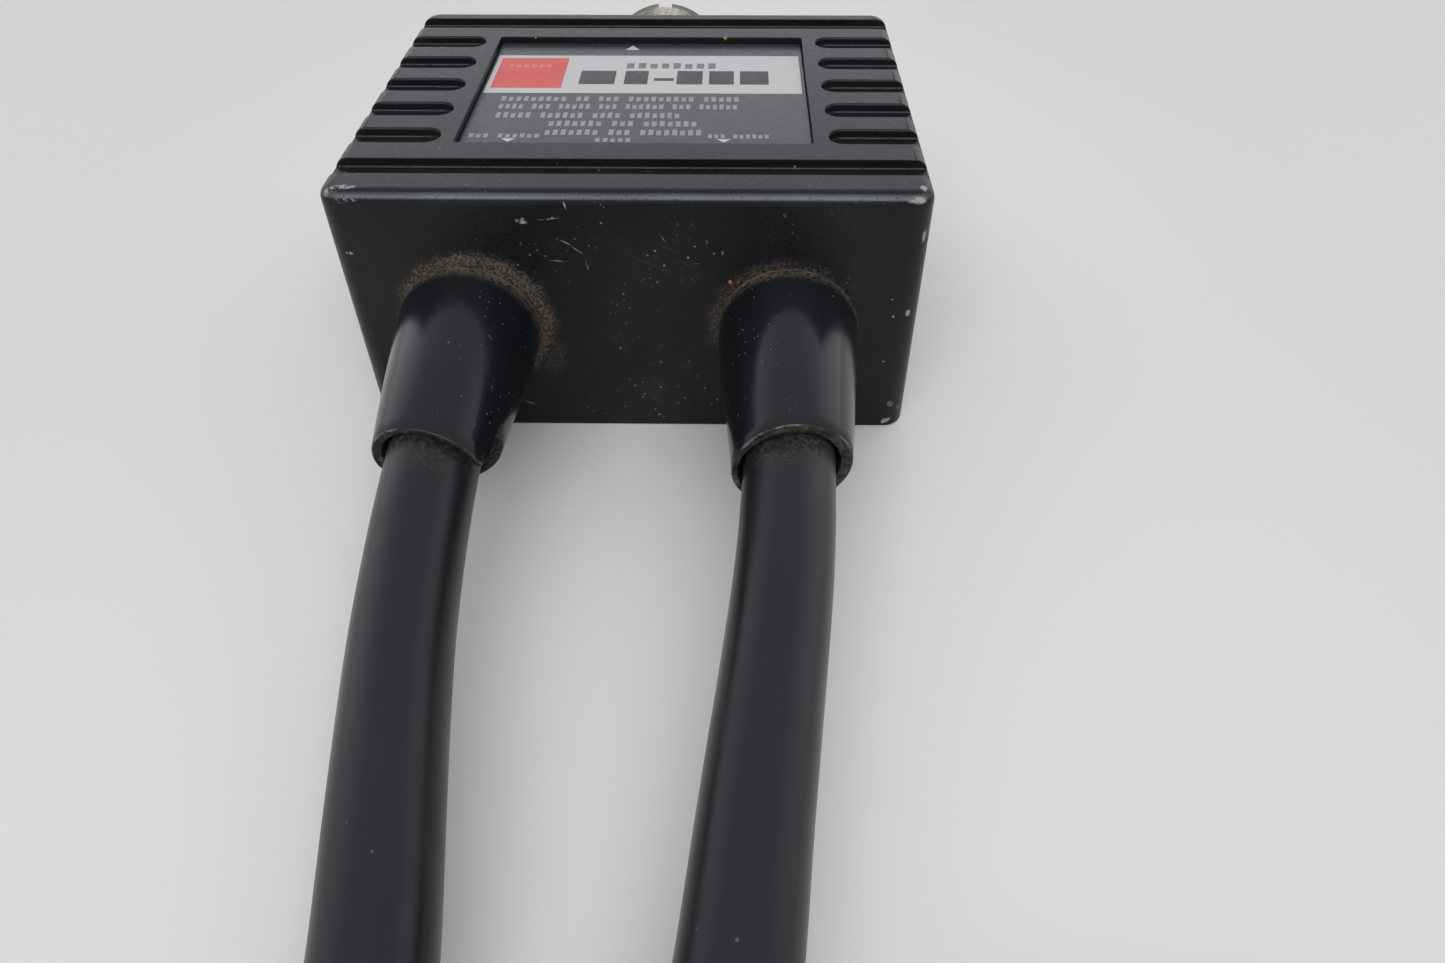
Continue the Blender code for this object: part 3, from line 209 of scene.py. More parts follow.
def lead_line(side, route, plug_place):
    """The middle line of a lead from its cut end in the case to its end in the plug."""
    points = [(exit_x(side), FRONT + CABLE_END, LEAD_HEIGHT)]
    for across, along, share in route:
        height = FLOOR_HEIGHT + share * (LEAD_HEIGHT - FLOOR_HEIGHT)
        points.append((exit_x(side) + across, FRONT + along, height))
    entry = plug_entry(side, plug_place)
    line = smooth_line([*points, entry], (0, -1, 0), (0, 1, 0))
    return np.vstack([line, entry + Vector((0, PLUG_CABLE_DEPTH - GAP, 0))])


# Meshes


def finish_object(mesh, materials, slot, node=None, body="housing", angle=35):
    """Link a mesh, shade it, and let it ride on a body, in place of a CAD node if one is named."""
    for material in materials:
        mesh.materials.append(material)
    mesh.shade_smooth()
    mesh.set_sharp_from_angle(angle=radians(angle))
    made = bpy.data.objects.new(mesh.name, mesh)
    scene.collection.objects.link(made)
    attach(made, body)
    if node:
        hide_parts(node)
    return made


def weighted(made):
    """Let the large faces set the normals at their edges."""
    step = made.modifiers.new("normals", "WEIGHTED_NORMAL")
    step.keep_sharp = True


def to_mesh(shape, name):
    """Turn a bmesh into a mesh in metres whose faces point out."""
    bmesh.ops.recalc_face_normals(shape, faces=shape.faces)
    bmesh.ops.scale(shape, vec=(MM, MM, MM), verts=shape.verts)
    mesh = bpy.data.meshes.new(name)
    shape.to_mesh(mesh)
    shape.free()
    return mesh


def rings_shape(rings, closed=False, shape=None):
    """Add a solid to a shape, through rings of points, capped at both ends or closed into a ring."""
    if shape is None:
        shape = bmesh.new()
    made = [[shape.verts.new(point) for point in ring] for ring in rings]
    for lower, upper in zip(made, [*made[1:], made[0]] if closed else made[1:]):
        for step in range(max(len(lower), len(upper))):
            corners = ((lower, step), (lower, step + 1), (upper, step + 1), (upper, step))
            face = dict.fromkeys(ring[at % len(ring)] for ring, at in corners)
            shape.faces.new(list(face))
    if not closed:
        for ring in (made[0], made[-1]):
            if len(ring) > 1:
                shape.faces.new(ring)
    return shape


def round_angles(sides):
    return [2 * pi * step / sides for step in range(sides)]


def turned(profile, sides=64, closed=False):
    """Turn (radius, height) points about Z; a radius may be a function of the angle."""
    rings = []
    for radius, height in profile:
        ring = []
        for angle in round_angles(sides) if radius else [0]:
            reach = radius(angle) if callable(radius) else radius
            ring.append((reach * cos(angle), reach * sin(angle), height))
        rings.append(ring)
    return rings_shape(rings, closed)


def rounded_rectangle(width, depth, radius, height, steps=8):
    """Points of a rectangle with round corners, centred on the Z axis."""
    points = []
    for quarter, (side_x, side_y) in enumerate(((1, 1), (-1, 1), (-1, -1), (1, -1))):
        centre_x = side_x * (width / 2 - radius)
        centre_y = side_y * (depth / 2 - radius)
        for step in range(steps + 1):
            angle = pi / 2 * (quarter + step / steps)
            points.append((centre_x + radius * cos(angle), centre_y + radius * sin(angle), height))
    return points


def moved(shape, centre):
    bmesh.ops.translate(shape, verts=shape.verts, vec=(*centre, 0))
    return shape


def slab(width, depth, low, high, radius=0.01, centre=(0, 0), steps=1):
    """A straight-sided block whose upright corners are round, or as good as square."""
    rings = [rounded_rectangle(width, depth, radius, z, steps) for z in (low, high)]
    return moved(rings_shape(rings), centre)


def crossed(length, width, low, high):
    """Two blocks across each other, to cut slots."""
    return [slab(*size, low, high) for size in ((length, width), (width, length))]


def rod(radius, low, high, centre=(0, 0), sides=32):
    return moved(turned([(0, low), (radius, low), (radius, high), (0, high)], sides), centre)


def aimed(shape, rotation, location):
    bmesh.ops.transform(shape, matrix=Matrix.Translation(location) @ rotation, verts=shape.verts)
    return shape


def combine(mesh, shapes, operation="DIFFERENCE"):
    """Cut bmeshes or meshes from a mesh, or unite them with it, one after the other."""
    for shape in shapes:
        if isinstance(shape, bmesh.types.BMesh):
            shape = to_mesh(shape, "combine_tool")
        base = bpy.data.objects.new("combine_base", mesh)
        tool = bpy.data.objects.new("combine_tool", shape)
        scene.collection.objects.link(base)
        scene.collection.objects.link(tool)
        step = base.modifiers.new("combine", "BOOLEAN")
        step.object = tool
        step.operation = operation
        bpy.context.view_layer.update()
        result = base.evaluated_get(bpy.context.evaluated_depsgraph_get())
        combined = bpy.data.meshes.new_from_object(result)
        name = mesh.name
        bpy.data.objects.remove(tool, do_unlink=True)
        bpy.data.objects.remove(base, do_unlink=True)
        bpy.data.meshes.remove(mesh)
        combined.name = name
        mesh = combined
    return mesh


def corner_places(half_x, half_y):
    return [(side_x * half_x, side_y * half_y) for side_x in (-1, 1) for side_y in (-1, 1)]


ALONG_Y = Matrix.Rotation(radians(-90), 4, "X")
UPSIDE_DOWN = Matrix.Rotation(pi, 4, "X")


def fine_piece(node, shape, place, material, slot, cutters=(), turn=ALONG_Y, **options):
    """A finer form for a CAD node: made round the Z axis, then cut, turned and moved to its place."""
    mesh = shape if isinstance(shape, bpy.types.Mesh) else to_mesh(shape, f"{node}_fine")
    mesh = combine(mesh, cutters)
    mesh.transform(Matrix.Translation(Vector(place) * MM) @ turn)
    finish_object(mesh, [material], slot, node, **options)


# Materials


def feed(socket, value):
    """Link a value to a socket, or set the socket."""
    if isinstance(value, Value):
        value.tree.links.new(value.socket, socket)
    else:
        socket.default_value = (*value, 1) if socket.type == "RGBA" else value


def add_node(tree, kind, inputs, output=0, **settings):
    """Add a shader node with inputs by name or number, and give one of its outputs."""
    node = tree.nodes.new("ShaderNode" + kind)
    for name, setting in settings.items():
        setattr(node, name, setting)
    for key, value in inputs.items():
        feed(node.inputs[key], value)
    return Value(tree, node.outputs[output])


class Value:
    """A value in a shader graph, with arithmetic; the sign | gives the larger of two."""

    def __init__(self, tree, socket):
        self.tree = tree
        self.socket = socket

    def math(self, operation, other=0.0):
        return add_node(self.tree, "Math", {0: self, 1: other}, operation=operation)

    def __add__(self, other):
        return self.math("ADD", other)

    def __sub__(self, other):
        return self.math("SUBTRACT", other)

    def __mul__(self, other):
        return self.math("MULTIPLY", other)

    def __truediv__(self, other):
        return self.math("DIVIDE", other)

    def __or__(self, other):
        return self.math("MAXIMUM", other)

    def step(self, low, high, bottom=0.0, top=1.0):
        """From bottom to top as the value goes from low to high, smoothly."""
        inputs = {"Value": self, "From Min": low, "From Max": high, "To Min": bottom, "To Max": top}
        return add_node(self.tree, "MapRange", inputs, interpolation_type="SMOOTHSTEP")

    def mix(self, first, second):
        """The first colour where the value is 0, and the second where it is 1."""
        return add_node(self.tree, "Mix", {0: self, 6: first, 7: second}, 2, data_type="RGBA")

    def length(self):
        return add_node(self.tree, "VectorMath", {0: self}, "Value", operation="LENGTH")

    def beside(self, output):
        """Another output of the same node."""
        return Value(self.tree, self.socket.node.outputs[output])

    def split(self):
        part = add_node(self.tree, "SeparateXYZ", {0: self})
        return part, part.beside(1), part.beside(2)


class Finish:
    """A material with one Principled shader, whose place is in millimetres."""

    def __init__(self, name, colour, roughness, metallic=0.0, ior=1.5):
        self.material = bpy.data.materials.new(name)
        self.material.use_nodes = True
        self.material.diffuse_color = (*colour, 1)
        self.tree = self.material.node_tree
        self.inputs = self.tree.nodes["Principled BSDF"].inputs
        self.colour(colour)
        self.roughness(roughness)
        feed(self.inputs["Metallic"], metallic)
        feed(self.inputs["IOR"], ior)
        place = add_node(self.tree, "TexCoord", {}, "Object")
        self.lead_place = place.beside("UV")
        inputs = {0: place, "Scale": 1 / MM}
        self.place = add_node(self.tree, "VectorMath", inputs, operation="SCALE")

    def colour(self, value):
        feed(self.inputs["Base Color"], value)

    def roughness(self, value):
        feed(self.inputs["Roughness"], value)

    def bump(self, height, strength, distance):
        inputs = {"Strength": strength, "Distance": distance * MM, "Height": height}
        normal = self.inputs["Normal"]
        if normal.is_linked:
            inputs["Normal"] = Value(self.tree, normal.links[0].from_socket)
        feed(normal, add_node(self.tree, "Bump", inputs))

    def mapped(self, centre=(0, 0, 0), turn=(0, 0, 0), reach=(1, 1, 1)):
        """The place from a centre, along turned axes, in units of reach."""
        inputs = {"Vector": self.place, "Location": centre, "Rotation": turn, "Scale": reach}
        return add_node(self.tree, "Mapping", inputs, vector_type="TEXTURE")

    def noise(self, scale, detail=3.0, rough=0.5, vector=None):
        """Smooth noise with about as many features in a metre as scale says."""
        inputs = {"Vector": vector or self.place, "Scale": scale * MM}
        inputs |= {"Detail": detail, "Roughness": rough}
        return add_node(self.tree, "TexNoise", inputs, "Fac")

    def specks(self, scale, size, keep):
        """Scattered dots: cells per metre, size as a share of a cell, and the share of cells kept."""
        inputs = {"Vector": self.place, "Scale": scale * MM}
        distance = add_node(self.tree, "TexVoronoi", inputs, "Distance")
        chosen = distance.beside("Color").split()[0].step(1 - keep, 1 - keep * 0.9)
        return distance.step(size, size * 0.6) * chosen

    def marks(self, places):
        """Worn patches: each a centre, half sizes, and a turn about Y in degrees."""
        found = 0.0
        for centre, reach, turn in places:
            away = self.mapped(centre, (0, radians(turn), 0), reach).length()
            found = away.step(1.0, 0.45) | found
        return found


# Dust round the boots on the front wall: side, radius of the ring's edge, how much it swells and
# towards which angle, the middle of the arc that is dusty, the cosine at its ends, and how thick
# the dust lies
DUST_RINGS = (
    (-1, 7.75, 0.65, 35, 70, -0.47, 1.0),
    (1, 7.45, 0.50, 190, 85, -0.38, 0.8),
)

# Bare metal where the paint is worn: centre, half sizes and turn about Y
WORN = (
    ((-24.5, -21.0, 26.0), (1.3, 0.42, 0.3), 0),
    ((-25.3, -21.3, 26.0), (0.8, 0.5, 0.3), 0),
    ((-24.3, -22.1, 25.25), (1.1, 0.4, 0.35), 0),
    ((-25.9, -21.2, 25.5), (0.5, 0.7, 0.5), 0),
    ((25.9, -20.7, 25.8), (0.55, 0.6, 0.5), 0),
    ((25.3, -21.9, 25.4), (1.1, 0.45, 0.38), 0),
    ((26.3, -21.6, 22.0), (0.25, 0.4, 1.0), 0),
    ((25.9, -22.1, 13.9), (0.35, 0.4, 0.5), 0),
    ((24.5, -22.2, 13.6), (0.16, 0.3, 0.16), 0),
    ((25.4, -22.1, 3.0), (0.38, 0.4, 0.42), 0),
    ((25.1, -22.1, 0.8), (0.75, 0.5, 0.35), -25),
    ((26.3, -21.5, 2.2), (0.35, 0.5, 0.35), 0),
    ((-9.35, -22.2, 23.35), (0.75, 0.3, 0.26), 8),
    ((-5.25, -22.2, 24.9), (0.12, 0.3, 0.5), -18),
    ((-25.2, -22.1, 20.1), (0.45, 0.3, 0.2), 0),
)

# Light fibres and scratches on the front wall
SCRATCHES = (
    ((-5.6, -22.2, 21.3), (0.75, 0.3, 0.09), 28),
    ((-4.6, -22.2, 20.5), (0.7, 0.3, 0.08), 40),
    ((-3.9, -22.2, 19.1), (0.8, 0.3, 0.08), 78),
    ((-6.4, -22.2, 19.4), (1.1, 0.3, 0.07), 4),
    ((-11.2, -22.2, 2.9), (0.75, 0.3, 0.08), 22),
    ((-6.8, -22.2, 23.6), (1.2, 0.3, 0.06), -6),
    ((3.2, -22.2, 21.6), (0.6, 0.3, 0.07), 60),
    ((6.0, -22.2, 19.2), (0.5, 0.3, 0.07), 5),
    ((-2.0, -22.2, 15.0), (0.5, 0.3, 0.06), 35),
)

# A smudge of dust beside the left boot
SMUDGES = (((-8.1, -22.2, 8.6), (1.7, 0.6, 3.2), 14),)

# Rust-coloured flecks
FLECKS = (
    ((8.3, 14.0, 26.0), (0.3, 0.4, 0.4), 0),
    ((-9.1, -22.2, 23.6), (0.2, 0.3, 0.14), 0),
    ((9.1, -22.2, 17.3), (0.22, 0.3, 0.26), 0),
)


def dust_ring(x, z, ragged, side, radius, swell, swell_turn, middle, end, strength):
    """Dust on the front wall round one boot."""
    across, up = x - exit_x(side), z - LEAD_HEIGHT
    reach = (across * across + up * up).math("SQRT")

    def towards(turn):
        """Cosine between the way out from the lead and an angle in degrees."""
        return (across * cos(radians(turn)) + up * sin(radians(turn))) / reach

    depth = towards(swell_turn) * swell + radius + ragged - reach
    arc = towards(middle).step(end - 0.2, end + 0.1)
    return depth.step(-0.5, 1.2) * arc * strength


def paint_material():
    """Satin black paint with dust, specks, scuffs, bare metal at the worn corners, and a painted
    highlight along the front top edge.
    """
    n = Finish("satin_black_paint", (0.0070, 0.0074, 0.0088), 0.33, ior=1.33)
    x, y, z = n.place.split()
    broad = n.noise(90)
    fine = n.noise(1500, 2)
    tone = broad.step(0.35, 0.7).mix((0.0055, 0.0058, 0.0070), (0.0088, 0.0092, 0.0106))

    front = y.step(FRONT + 1.2, FRONT + 0.3)
    patches = n.noise(160, 4, 0.6).step(0.46, 0.70)
    crowd = front * patches * (x - 3).math("ABSOLUTE").step(23, 7)
    end = y.step(FRONT + 11, FRONT + 4) * z.step(24.5, 24.9)
    dots = n.specks(620, 0.08, 0.12) | n.specks(330, 0.055, 0.14)
    dots |= n.specks(1500, 0.20, 0.55) * crowd
    dots |= n.specks(800, 0.11, 0.50) * crowd
    dots |= n.specks(1100, 0.12, 0.40) * end * patches
    tone = (dots * 0.75).mix(tone, (0.30, 0.28, 0.25))
    scratched = n.mapped(turn=(0, 0.35, 0), reach=(7, 1, 0.35))
    haze = n.noise(1100, 3, 0.6, scratched).step(0.58, 0.72)
    haze |= n.noise(420, 4, 0.7).step(0.52, 0.70) * 0.6
    tone = (haze * crowd * 0.16).mix(tone, (0.13, 0.12, 0.11))

    ragged = (n.noise(500, 5, 0.7) - 0.5) * 1.8
    dust = n.marks(SMUDGES) * 0.55
    for ring in DUST_RINGS:
        dust |= dust_ring(x, z, ragged, *ring)
    dust *= front
    caught = (n.noise(3600, 4, 0.8) + dust * 0.16).step(0.58, 0.74)
    dust *= caught * 0.56 + 0.07
    tone = dust.mix(tone, broad.mix((0.165, 0.118, 0.086), (0.26, 0.20, 0.153)))

    # Painted highlight: a paler, bluish band, also smoother, along the middle of the front top edge's
    # rounding, where the soft box is reflected.
    edge = z.step(25.30, 25.48) * z.step(25.88, 25.70) * front * broad.step(0.2, 0.6, 0.6, 1.0)
    tone = edge.mix(tone, (0.085, 0.091, 0.102))
    worn = n.marks(WORN) * n.noise(1300, 3, 0.7).step(0.40, 0.54)
    tone = worn.mix(tone, (0.30, 0.28, 0.26))
    scratches = n.marks(SCRATCHES) * fine.step(0.35, 0.6) * 0.7
    tone = scratches.mix(tone, (0.26, 0.25, 0.23))
    n.colour(n.marks(FLECKS).mix(tone, (0.42, 0.19, 0.06)))
    n.roughness(fine.step(0.3, 0.7, 0.30, 0.37) + edge * -0.12 + dust * 0.45)
    n.bump(fine, 0.06, 0.04)
    n.bump(caught, 0.5, 0.12)
    n.bump(worn * -1, 0.6, 0.1)
    return n.material


def vinyl_material():
    """Glossy black vinyl of the boots, with fine scratches, specks and dust at the foot."""
    n = Finish("glossy_black_vinyl", (0.008, 0.009, 0.011), 0.13, ior=1.38)
    x, y, z = n.place.split()
    foot = y.step(FRONT - 2.3, FRONT - 0.3) * z.step(LEAD_HEIGHT - 3.5, LEAD_HEIGHT + 1)
    foot *= n.noise(2400, 4, 0.8).step(0.40, 0.62, 0.10, 0.9)
    line = y.step(FRONT - 0.95, FRONT - 0.55) * z.step(LEAD_HEIGHT - 4, LEAD_HEIGHT)
    line *= n.noise(500, 3, 0.6).step(0.25, 0.55, 0.35, 0.9)
    dust = foot | line
    inner = x.math("ABSOLUTE").step(17, 10)
    dots = n.specks(700, 0.075, 0.16) | n.specks(380, 0.05, 0.18)
    dots |= n.specks(950, 0.10, 0.40) * inner
    dots |= n.specks(1500, 0.14, 0.40) * inner
    tone = (dots * 0.5).mix((0.008, 0.009, 0.011), (0.24, 0.23, 0.21))
    n.colour(dust.mix(tone, (0.19, 0.15, 0.115)))
    streaks = n.noise(500, 2, 0.6, n.mapped(reach=(0.25, 3.0, 0.25))).step(0.62, 0.8, 0.0, 0.10)
    n.roughness(n.noise(140).step(0.3, 0.75, 0.16, 0.24) + streaks + dust * 0.6)
    n.bump(n.noise(260, 2), 0.05, 0.2)
    n.bump(dust, 0.6, 0.2)
    return n.material


def trimmed_material():
    """The rough end of a boot where it was trimmed, dustier on the right one."""
    n = Finish("trimmed_vinyl", (0.06, 0.052, 0.045), 0.8, ior=1.4)
    rough = n.noise(1500, 5, 0.75)
    left = n.place.split()[0].step(3, -3)
    right_tone = rough.step(0.40, 0.66).mix((0.012, 0.011, 0.010), (0.072, 0.058, 0.047))
    left_tone = rough.step(0.50, 0.64).mix((0.007, 0.007, 0.007), (0.070, 0.068, 0.058))
    patches = n.noise(420, 3, 0.6).step(0.55, 0.68) * rough.step(0.4, 0.6) * (left * -0.7 + 1)
    n.colour(patches.mix(left.mix(right_tone, left_tone), (0.17, 0.145, 0.12)))
    n.bump(rough, 1.0, 0.3)
    return n.material


def scuffed_material():
    """The scuffed outer edge of a boot's end, where the vinyl turns grey."""
    n = Finish("scuffed_vinyl", (0.05, 0.05, 0.05), 0.45, ior=1.4)
    pale = n.noise(600, 3, 0.6).step(0.47, 0.66)
    n.colour(pale.mix((0.009, 0.009, 0.010), (0.125, 0.122, 0.118)))
    n.bump(n.noise(2500), 0.6, 0.1)
    return n.material


def jacket_material():
    """Satin black cable jacket, dusty where it comes out of the boot."""
    n = Finish("satin_black_jacket", (0.0085, 0.0095, 0.0115), 0.32, ior=1.40)
    along = n.lead_place.split()[1]
    grit = n.noise(2600, 4, 0.8)
    rim = CABLE_END + BOOT_LENGTH
    dust = along.step(rim + 4.2, rim - 0.8) * n.noise(380).step(0.36, 0.62) * grit.step(0.46, 0.66)
    dust |= along.step(rim + 1.6, rim + 0.2) * grit.step(0.36, 0.60) * 0.4
    dots = n.specks(520, 0.06, 0.10) | n.specks(300, 0.045, 0.12)
    tone = n.noise(60, 2).mix((0.0078, 0.0088, 0.0106), (0.0098, 0.0108, 0.0130))
    tone = (dots * 0.30).mix(tone, (0.22, 0.21, 0.19))
    n.colour((dust * 0.85).mix(tone, (0.095, 0.076, 0.058)))
    n.roughness(n.noise(120).step(0.3, 0.75, 0.28, 0.37) + dust * 0.4)
    n.bump(n.noise(700), 0.05, 0.1)
    return n.material


def label_material():
    """Dark grey printed foil."""
    n = Finish("printed_label", (0.030, 0.031, 0.034), 0.30, ior=1.42)
    fine = n.noise(1800, 2)
    n.colour(n.noise(200).step(0.3, 0.7).mix((0.027, 0.028, 0.031), (0.034, 0.035, 0.038)))
    n.roughness(fine.step(0.3, 0.7, 0.27, 0.34))
    n.bump(fine, 0.04, 0.04)
    return n.material


def ink_material(name, colour, wear, worn_colour):
    """Printed ink, rubbed thin in places."""
    n = Finish(name, colour, 0.42, ior=1.40)
    cloudy = n.noise(150, 2).mix(tuple(value * 0.94 for value in colour), colour)
    rubbed = n.noise(900, 4, 0.7).step(0.58, 0.74) * wear
    n.colour(rubbed.mix(cloudy, worn_colour))
    n.roughness(n.noise(1200, 2).step(0.3, 0.7, 0.38, 0.46))
    return n.material


def metal_material(name, colour, roughness, stain=(0.35, 0.31, 0.25)):
    """Plated or bare metal with slight stains and fine handling marks."""
    n = Finish(name, colour, roughness, 1.0)
    handled = n.noise(2400, 3, vector=n.mapped(reach=(1, 6, 1)))
    stained = n.noise(220, 4, 0.6).step(0.5, 0.8)
    n.colour((stained * 0.35).mix(colour, stain))
    n.roughness(handled.step(0.3, 0.7, roughness - 0.06, roughness + 0.08) + stained * 0.12)
    n.bump(handled, 0.08, 0.05)
    return n.material


def plain_material(name, colour, roughness):
    """A moulded surface with slight variation."""
    n = Finish(name, colour, roughness)
    n.colour(n.noise(150).step(0.3, 0.7).mix(tuple(value * 0.8 for value in colour), colour))
    n.roughness(n.noise(900, 2).step(0.3, 0.7, roughness - 0.05, roughness + 0.05))
    n.bump(n.noise(1800, 2), 0.1, 0.05)
    return n.material


paint = paint_material()
vinyl = vinyl_material()
trimmed = trimmed_material()
scuffed = scuffed_material()
jacket = jacket_material()
label = label_material()
nickel = metal_material("nickel_plating", (0.48, 0.455, 0.41), 0.32)
dull_nickel = metal_material("dull_nickel", (0.21, 0.195, 0.172), 0.44, (0.13, 0.11, 0.085))
steel = metal_material("zinc_plated_steel", (0.55, 0.55, 0.54), 0.34)
brass = metal_material("silvered_brass", (0.70, 0.66, 0.55), 0.28)
copper = metal_material("enamelled_copper", (0.62, 0.26, 0.12), 0.30, (0.40, 0.15, 0.07))
white_resin = plain_material("white_insulator", (0.72, 0.70, 0.64), 0.42)
brown_resin = plain_material("brown_phenolic", (0.13, 0.045, 0.018), 0.42)
ceramic = plain_material("ceramic_tan", (0.52, 0.30, 0.13), 0.5)
laminate = plain_material("board_laminate", (0.24, 0.17, 0.06), 0.5)


# Leads


def frames_along(slopes):
    """For each direction along a lead, the directions across it, towards +X at the exit, and up."""
    across = np.cross((0, 0, 1), slopes)
    across /= np.linalg.norm(across, axis=1)[:, None]
    return across, np.cross(slopes, across)


def tube(name, line, radius, sides, spacing):
    """A round tube along a line; UV holds the share of a turn and the distance along it."""
    reach, places, slopes = resample(line, spacing)
    across, up = frames_along(slopes)
    rings = []
    for place, side_way, up_way in zip(places, across, up):
        spokes = [side_way * cos(angle) + up_way * sin(angle) for angle in round_angles(sides)]
        rings.append([place + spoke * radius for spoke in spokes])
    shape = rings_shape(rings)
    layer = shape.loops.layers.uv.new("lead")
    for number, face in enumerate(list(shape.faces)[:-2]):
        row, step = divmod(number, sides)
        ends = ((step, row), (step + 1, row), (step + 1, row + 1), (step, row + 1))
        for loop, (turn, along) in zip(face.loops, ends):
            loop[layer].uv = (turn / sides, reach[along])
    return to_mesh(shape, name), reach[-1], places


def make_cable(name, side, line):
    mesh, length, path = tube(f"lead_{name}", line, CABLE_RADIUS, 48, 1.2)
    made = finish_object(mesh, [jacket], "satin_black_jacket", f"cable_{name}", angle=60)
    tuple(value * MM for value in (exit_x(side), FRONT, LEAD_HEIGHT))


class Boot:
    """A boot along the start of its lead, with a trimmed end."""

    SIDES = 144
    BASE_ROUND = 0.4
    EDGE = 0.10

    def __init__(self, name, line, cut):
        self.name = name
        self.degrees, self.reaches, self.swells = zip(*cut)
        self.reach, self.places, slopes = resample(line, 0.2)
        self.across, self.up = frames_along(slopes)
        self.rings = []
        self.row_finishes = []

    def end(self, angle):
        """How far the boot reaches at an angle, a little ragged."""
        reach = np.interp(degrees(angle), self.degrees, self.reaches, period=360)
        seed = Vector((3 * cos(angle), 3 * sin(angle), len(self.name)))
        return BOOT_LENGTH + reach + 0.06 * noise.noise(seed) + 0.03 * noise.noise(seed * 5)

    def outer(self, distance, angle):
        """Outer radius, which tapers, and swells or thins towards the rim."""
        swell = np.interp(degrees(angle), self.degrees, self.swells, period=360)
        share = min(1.0, distance / BOOT_LENGTH)
        taper = (BOOT_BASE_RADIUS - BOOT_RIM_RADIUS) * share**BOOT_TAPER
        return BOOT_BASE_RADIUS - taper + swell * share**3

    def at(self, distance, angle, radius):
        where = CABLE_END + distance
        place, side_way, up_way = (
            np.array([np.interp(where, self.reach, values[:, axis]) for axis in range(3)])
            for values in (self.places, self.across, self.up)
        )
        return place + (side_way * cos(angle) + up_way * sin(angle)) * radius

    def ring(self, finish, spot):
        """Add a ring of points; spot gives the distance and radius at an angle."""
        points = []
        for angle in round_angles(self.SIDES):
            distance, radius = spot(angle)
            points.append(self.at(distance, angle, radius))
        self.rings.append(points)
        self.row_finishes.append(finish)

    def plain_ring(self, distance, radius):
        self.ring(0, lambda angle: (distance, radius))

    def outside(self):
        for bend in range(5):
            turn = pi / 2 * bend / 4
            distance = GAP + self.BASE_ROUND * (1 - cos(turn))
            self.plain_ring(distance, BOOT_BASE_RADIUS - self.BASE_ROUND * (1 - sin(turn)))
        start = GAP + self.BASE_ROUND
        steps = 16
        for step in range(1, steps + 1):

            def spot(angle, share=step / steps):
                distance = start + (self.end(angle) - self.EDGE - start) * share
                return distance, self.outer(distance, angle)

            self.ring(0 if step < steps else 2, spot)

    def cut_face(self):
        def edge(angle, share):
            end = self.end(angle)
            return end - self.EDGE * (1 - share), self.outer(end, angle) - self.EDGE * share

        def face(angle, share):
            end = self.end(angle)
            outer = self.outer(end, angle) - self.EDGE
            seed = Vector((9 * cos(angle), 9 * sin(angle), 7 * share))
            bumps = noise.noise(seed) + 0.5 * noise.noise(seed * 2.7)
            return end + 0.08 * bumps, outer + (BOOT_BORE - outer) * share

        self.ring(2, lambda angle: edge(angle, 0.6))
        self.ring(1, lambda angle: edge(angle, 1.0))
        for share in (0.25, 0.5, 0.75):
            self.ring(1, lambda angle, s=share: face(angle, s))
        self.ring(1, lambda angle: (self.end(angle) - 0.06, BOOT_BORE))

    def inside(self):
        inner_face = -(WALL + GAP)
        flange_end = inner_face - 1.1
        flange = BOOT_NECK + 0.6
        for share in (0.93, 0.7, 0.4, 0.0):
            self.ring(1 if share > 0.9 else 0, lambda angle, s=share: (self.end(angle) * s, BOOT_BORE))
        self.plain_ring(flange_end, BOOT_BORE)
        self.plain_ring(flange_end, flange)
        self.plain_ring(inner_face, flange)
        self.plain_ring(inner_face, BOOT_NECK)
        self.plain_ring(GAP, BOOT_NECK)

    def make(self):
        self.outside()
        self.cut_face()
        self.inside()
        mesh = to_mesh(rings_shape(self.rings, closed=True), f"boot_{self.name}_vinyl")
        finishes = [vinyl, trimmed, scuffed]
        finish_object(mesh, finishes, "glossy_black_vinyl", f"boot_{self.name}", angle=50)
        for number, face in enumerate(mesh.polygons):
            face.material_index = self.row_finishes[number // self.SIDES]


# Case


def slot_cutter(width, length, radius, centre, depth, steps=8, lip=0.22):
    """A cutter for a groove in the top, with a rounded lip and a softened floor."""
    floor = HEIGHT - depth
    soft = 0.25
    rows = [(-soft, floor), (-soft * 0.45, floor + soft * 0.12), (-soft * 0.1, floor + soft * 0.5)]
    rows += [(0, floor + soft)]
    rows += [(lip * (1 - cos(a)), HEIGHT - lip * (1 - sin(a))) for a in (0, 0.4, 0.8, 1.2)]
    rows += [(lip, HEIGHT + 0.001), (lip * 1.6, HEIGHT + 1)]
    rings = []
    for grow, height in rows:
        corner = max(radius + grow, 0.02)
        rings.append(rounded_rectangle(length + 2 * grow, width + 2 * grow, corner, height, steps))
    return moved(rings_shape(rings), centre)


def case_outside():
    """The casting's outer form, with its foot, upright corners and top edge rounded."""
    foot = 0.3
    levels = [(foot, 0), (foot * 0.3, foot * 0.3), (0, foot)]
    steps = 8
    for step in range(steps + 1):
        angle = pi / 2 * step / steps
        inset = TOP_EDGE_RADIUS * (1 - cos(angle))
        levels.append((inset, HEIGHT - TOP_EDGE_RADIUS * (1 - sin(angle))))
    return rings_shape(
        rounded_rectangle(WIDTH - 2 * inset, DEPTH - 2 * inset, CORNER_RADIUS - inset, height, 10)
        for inset, height in levels
    )


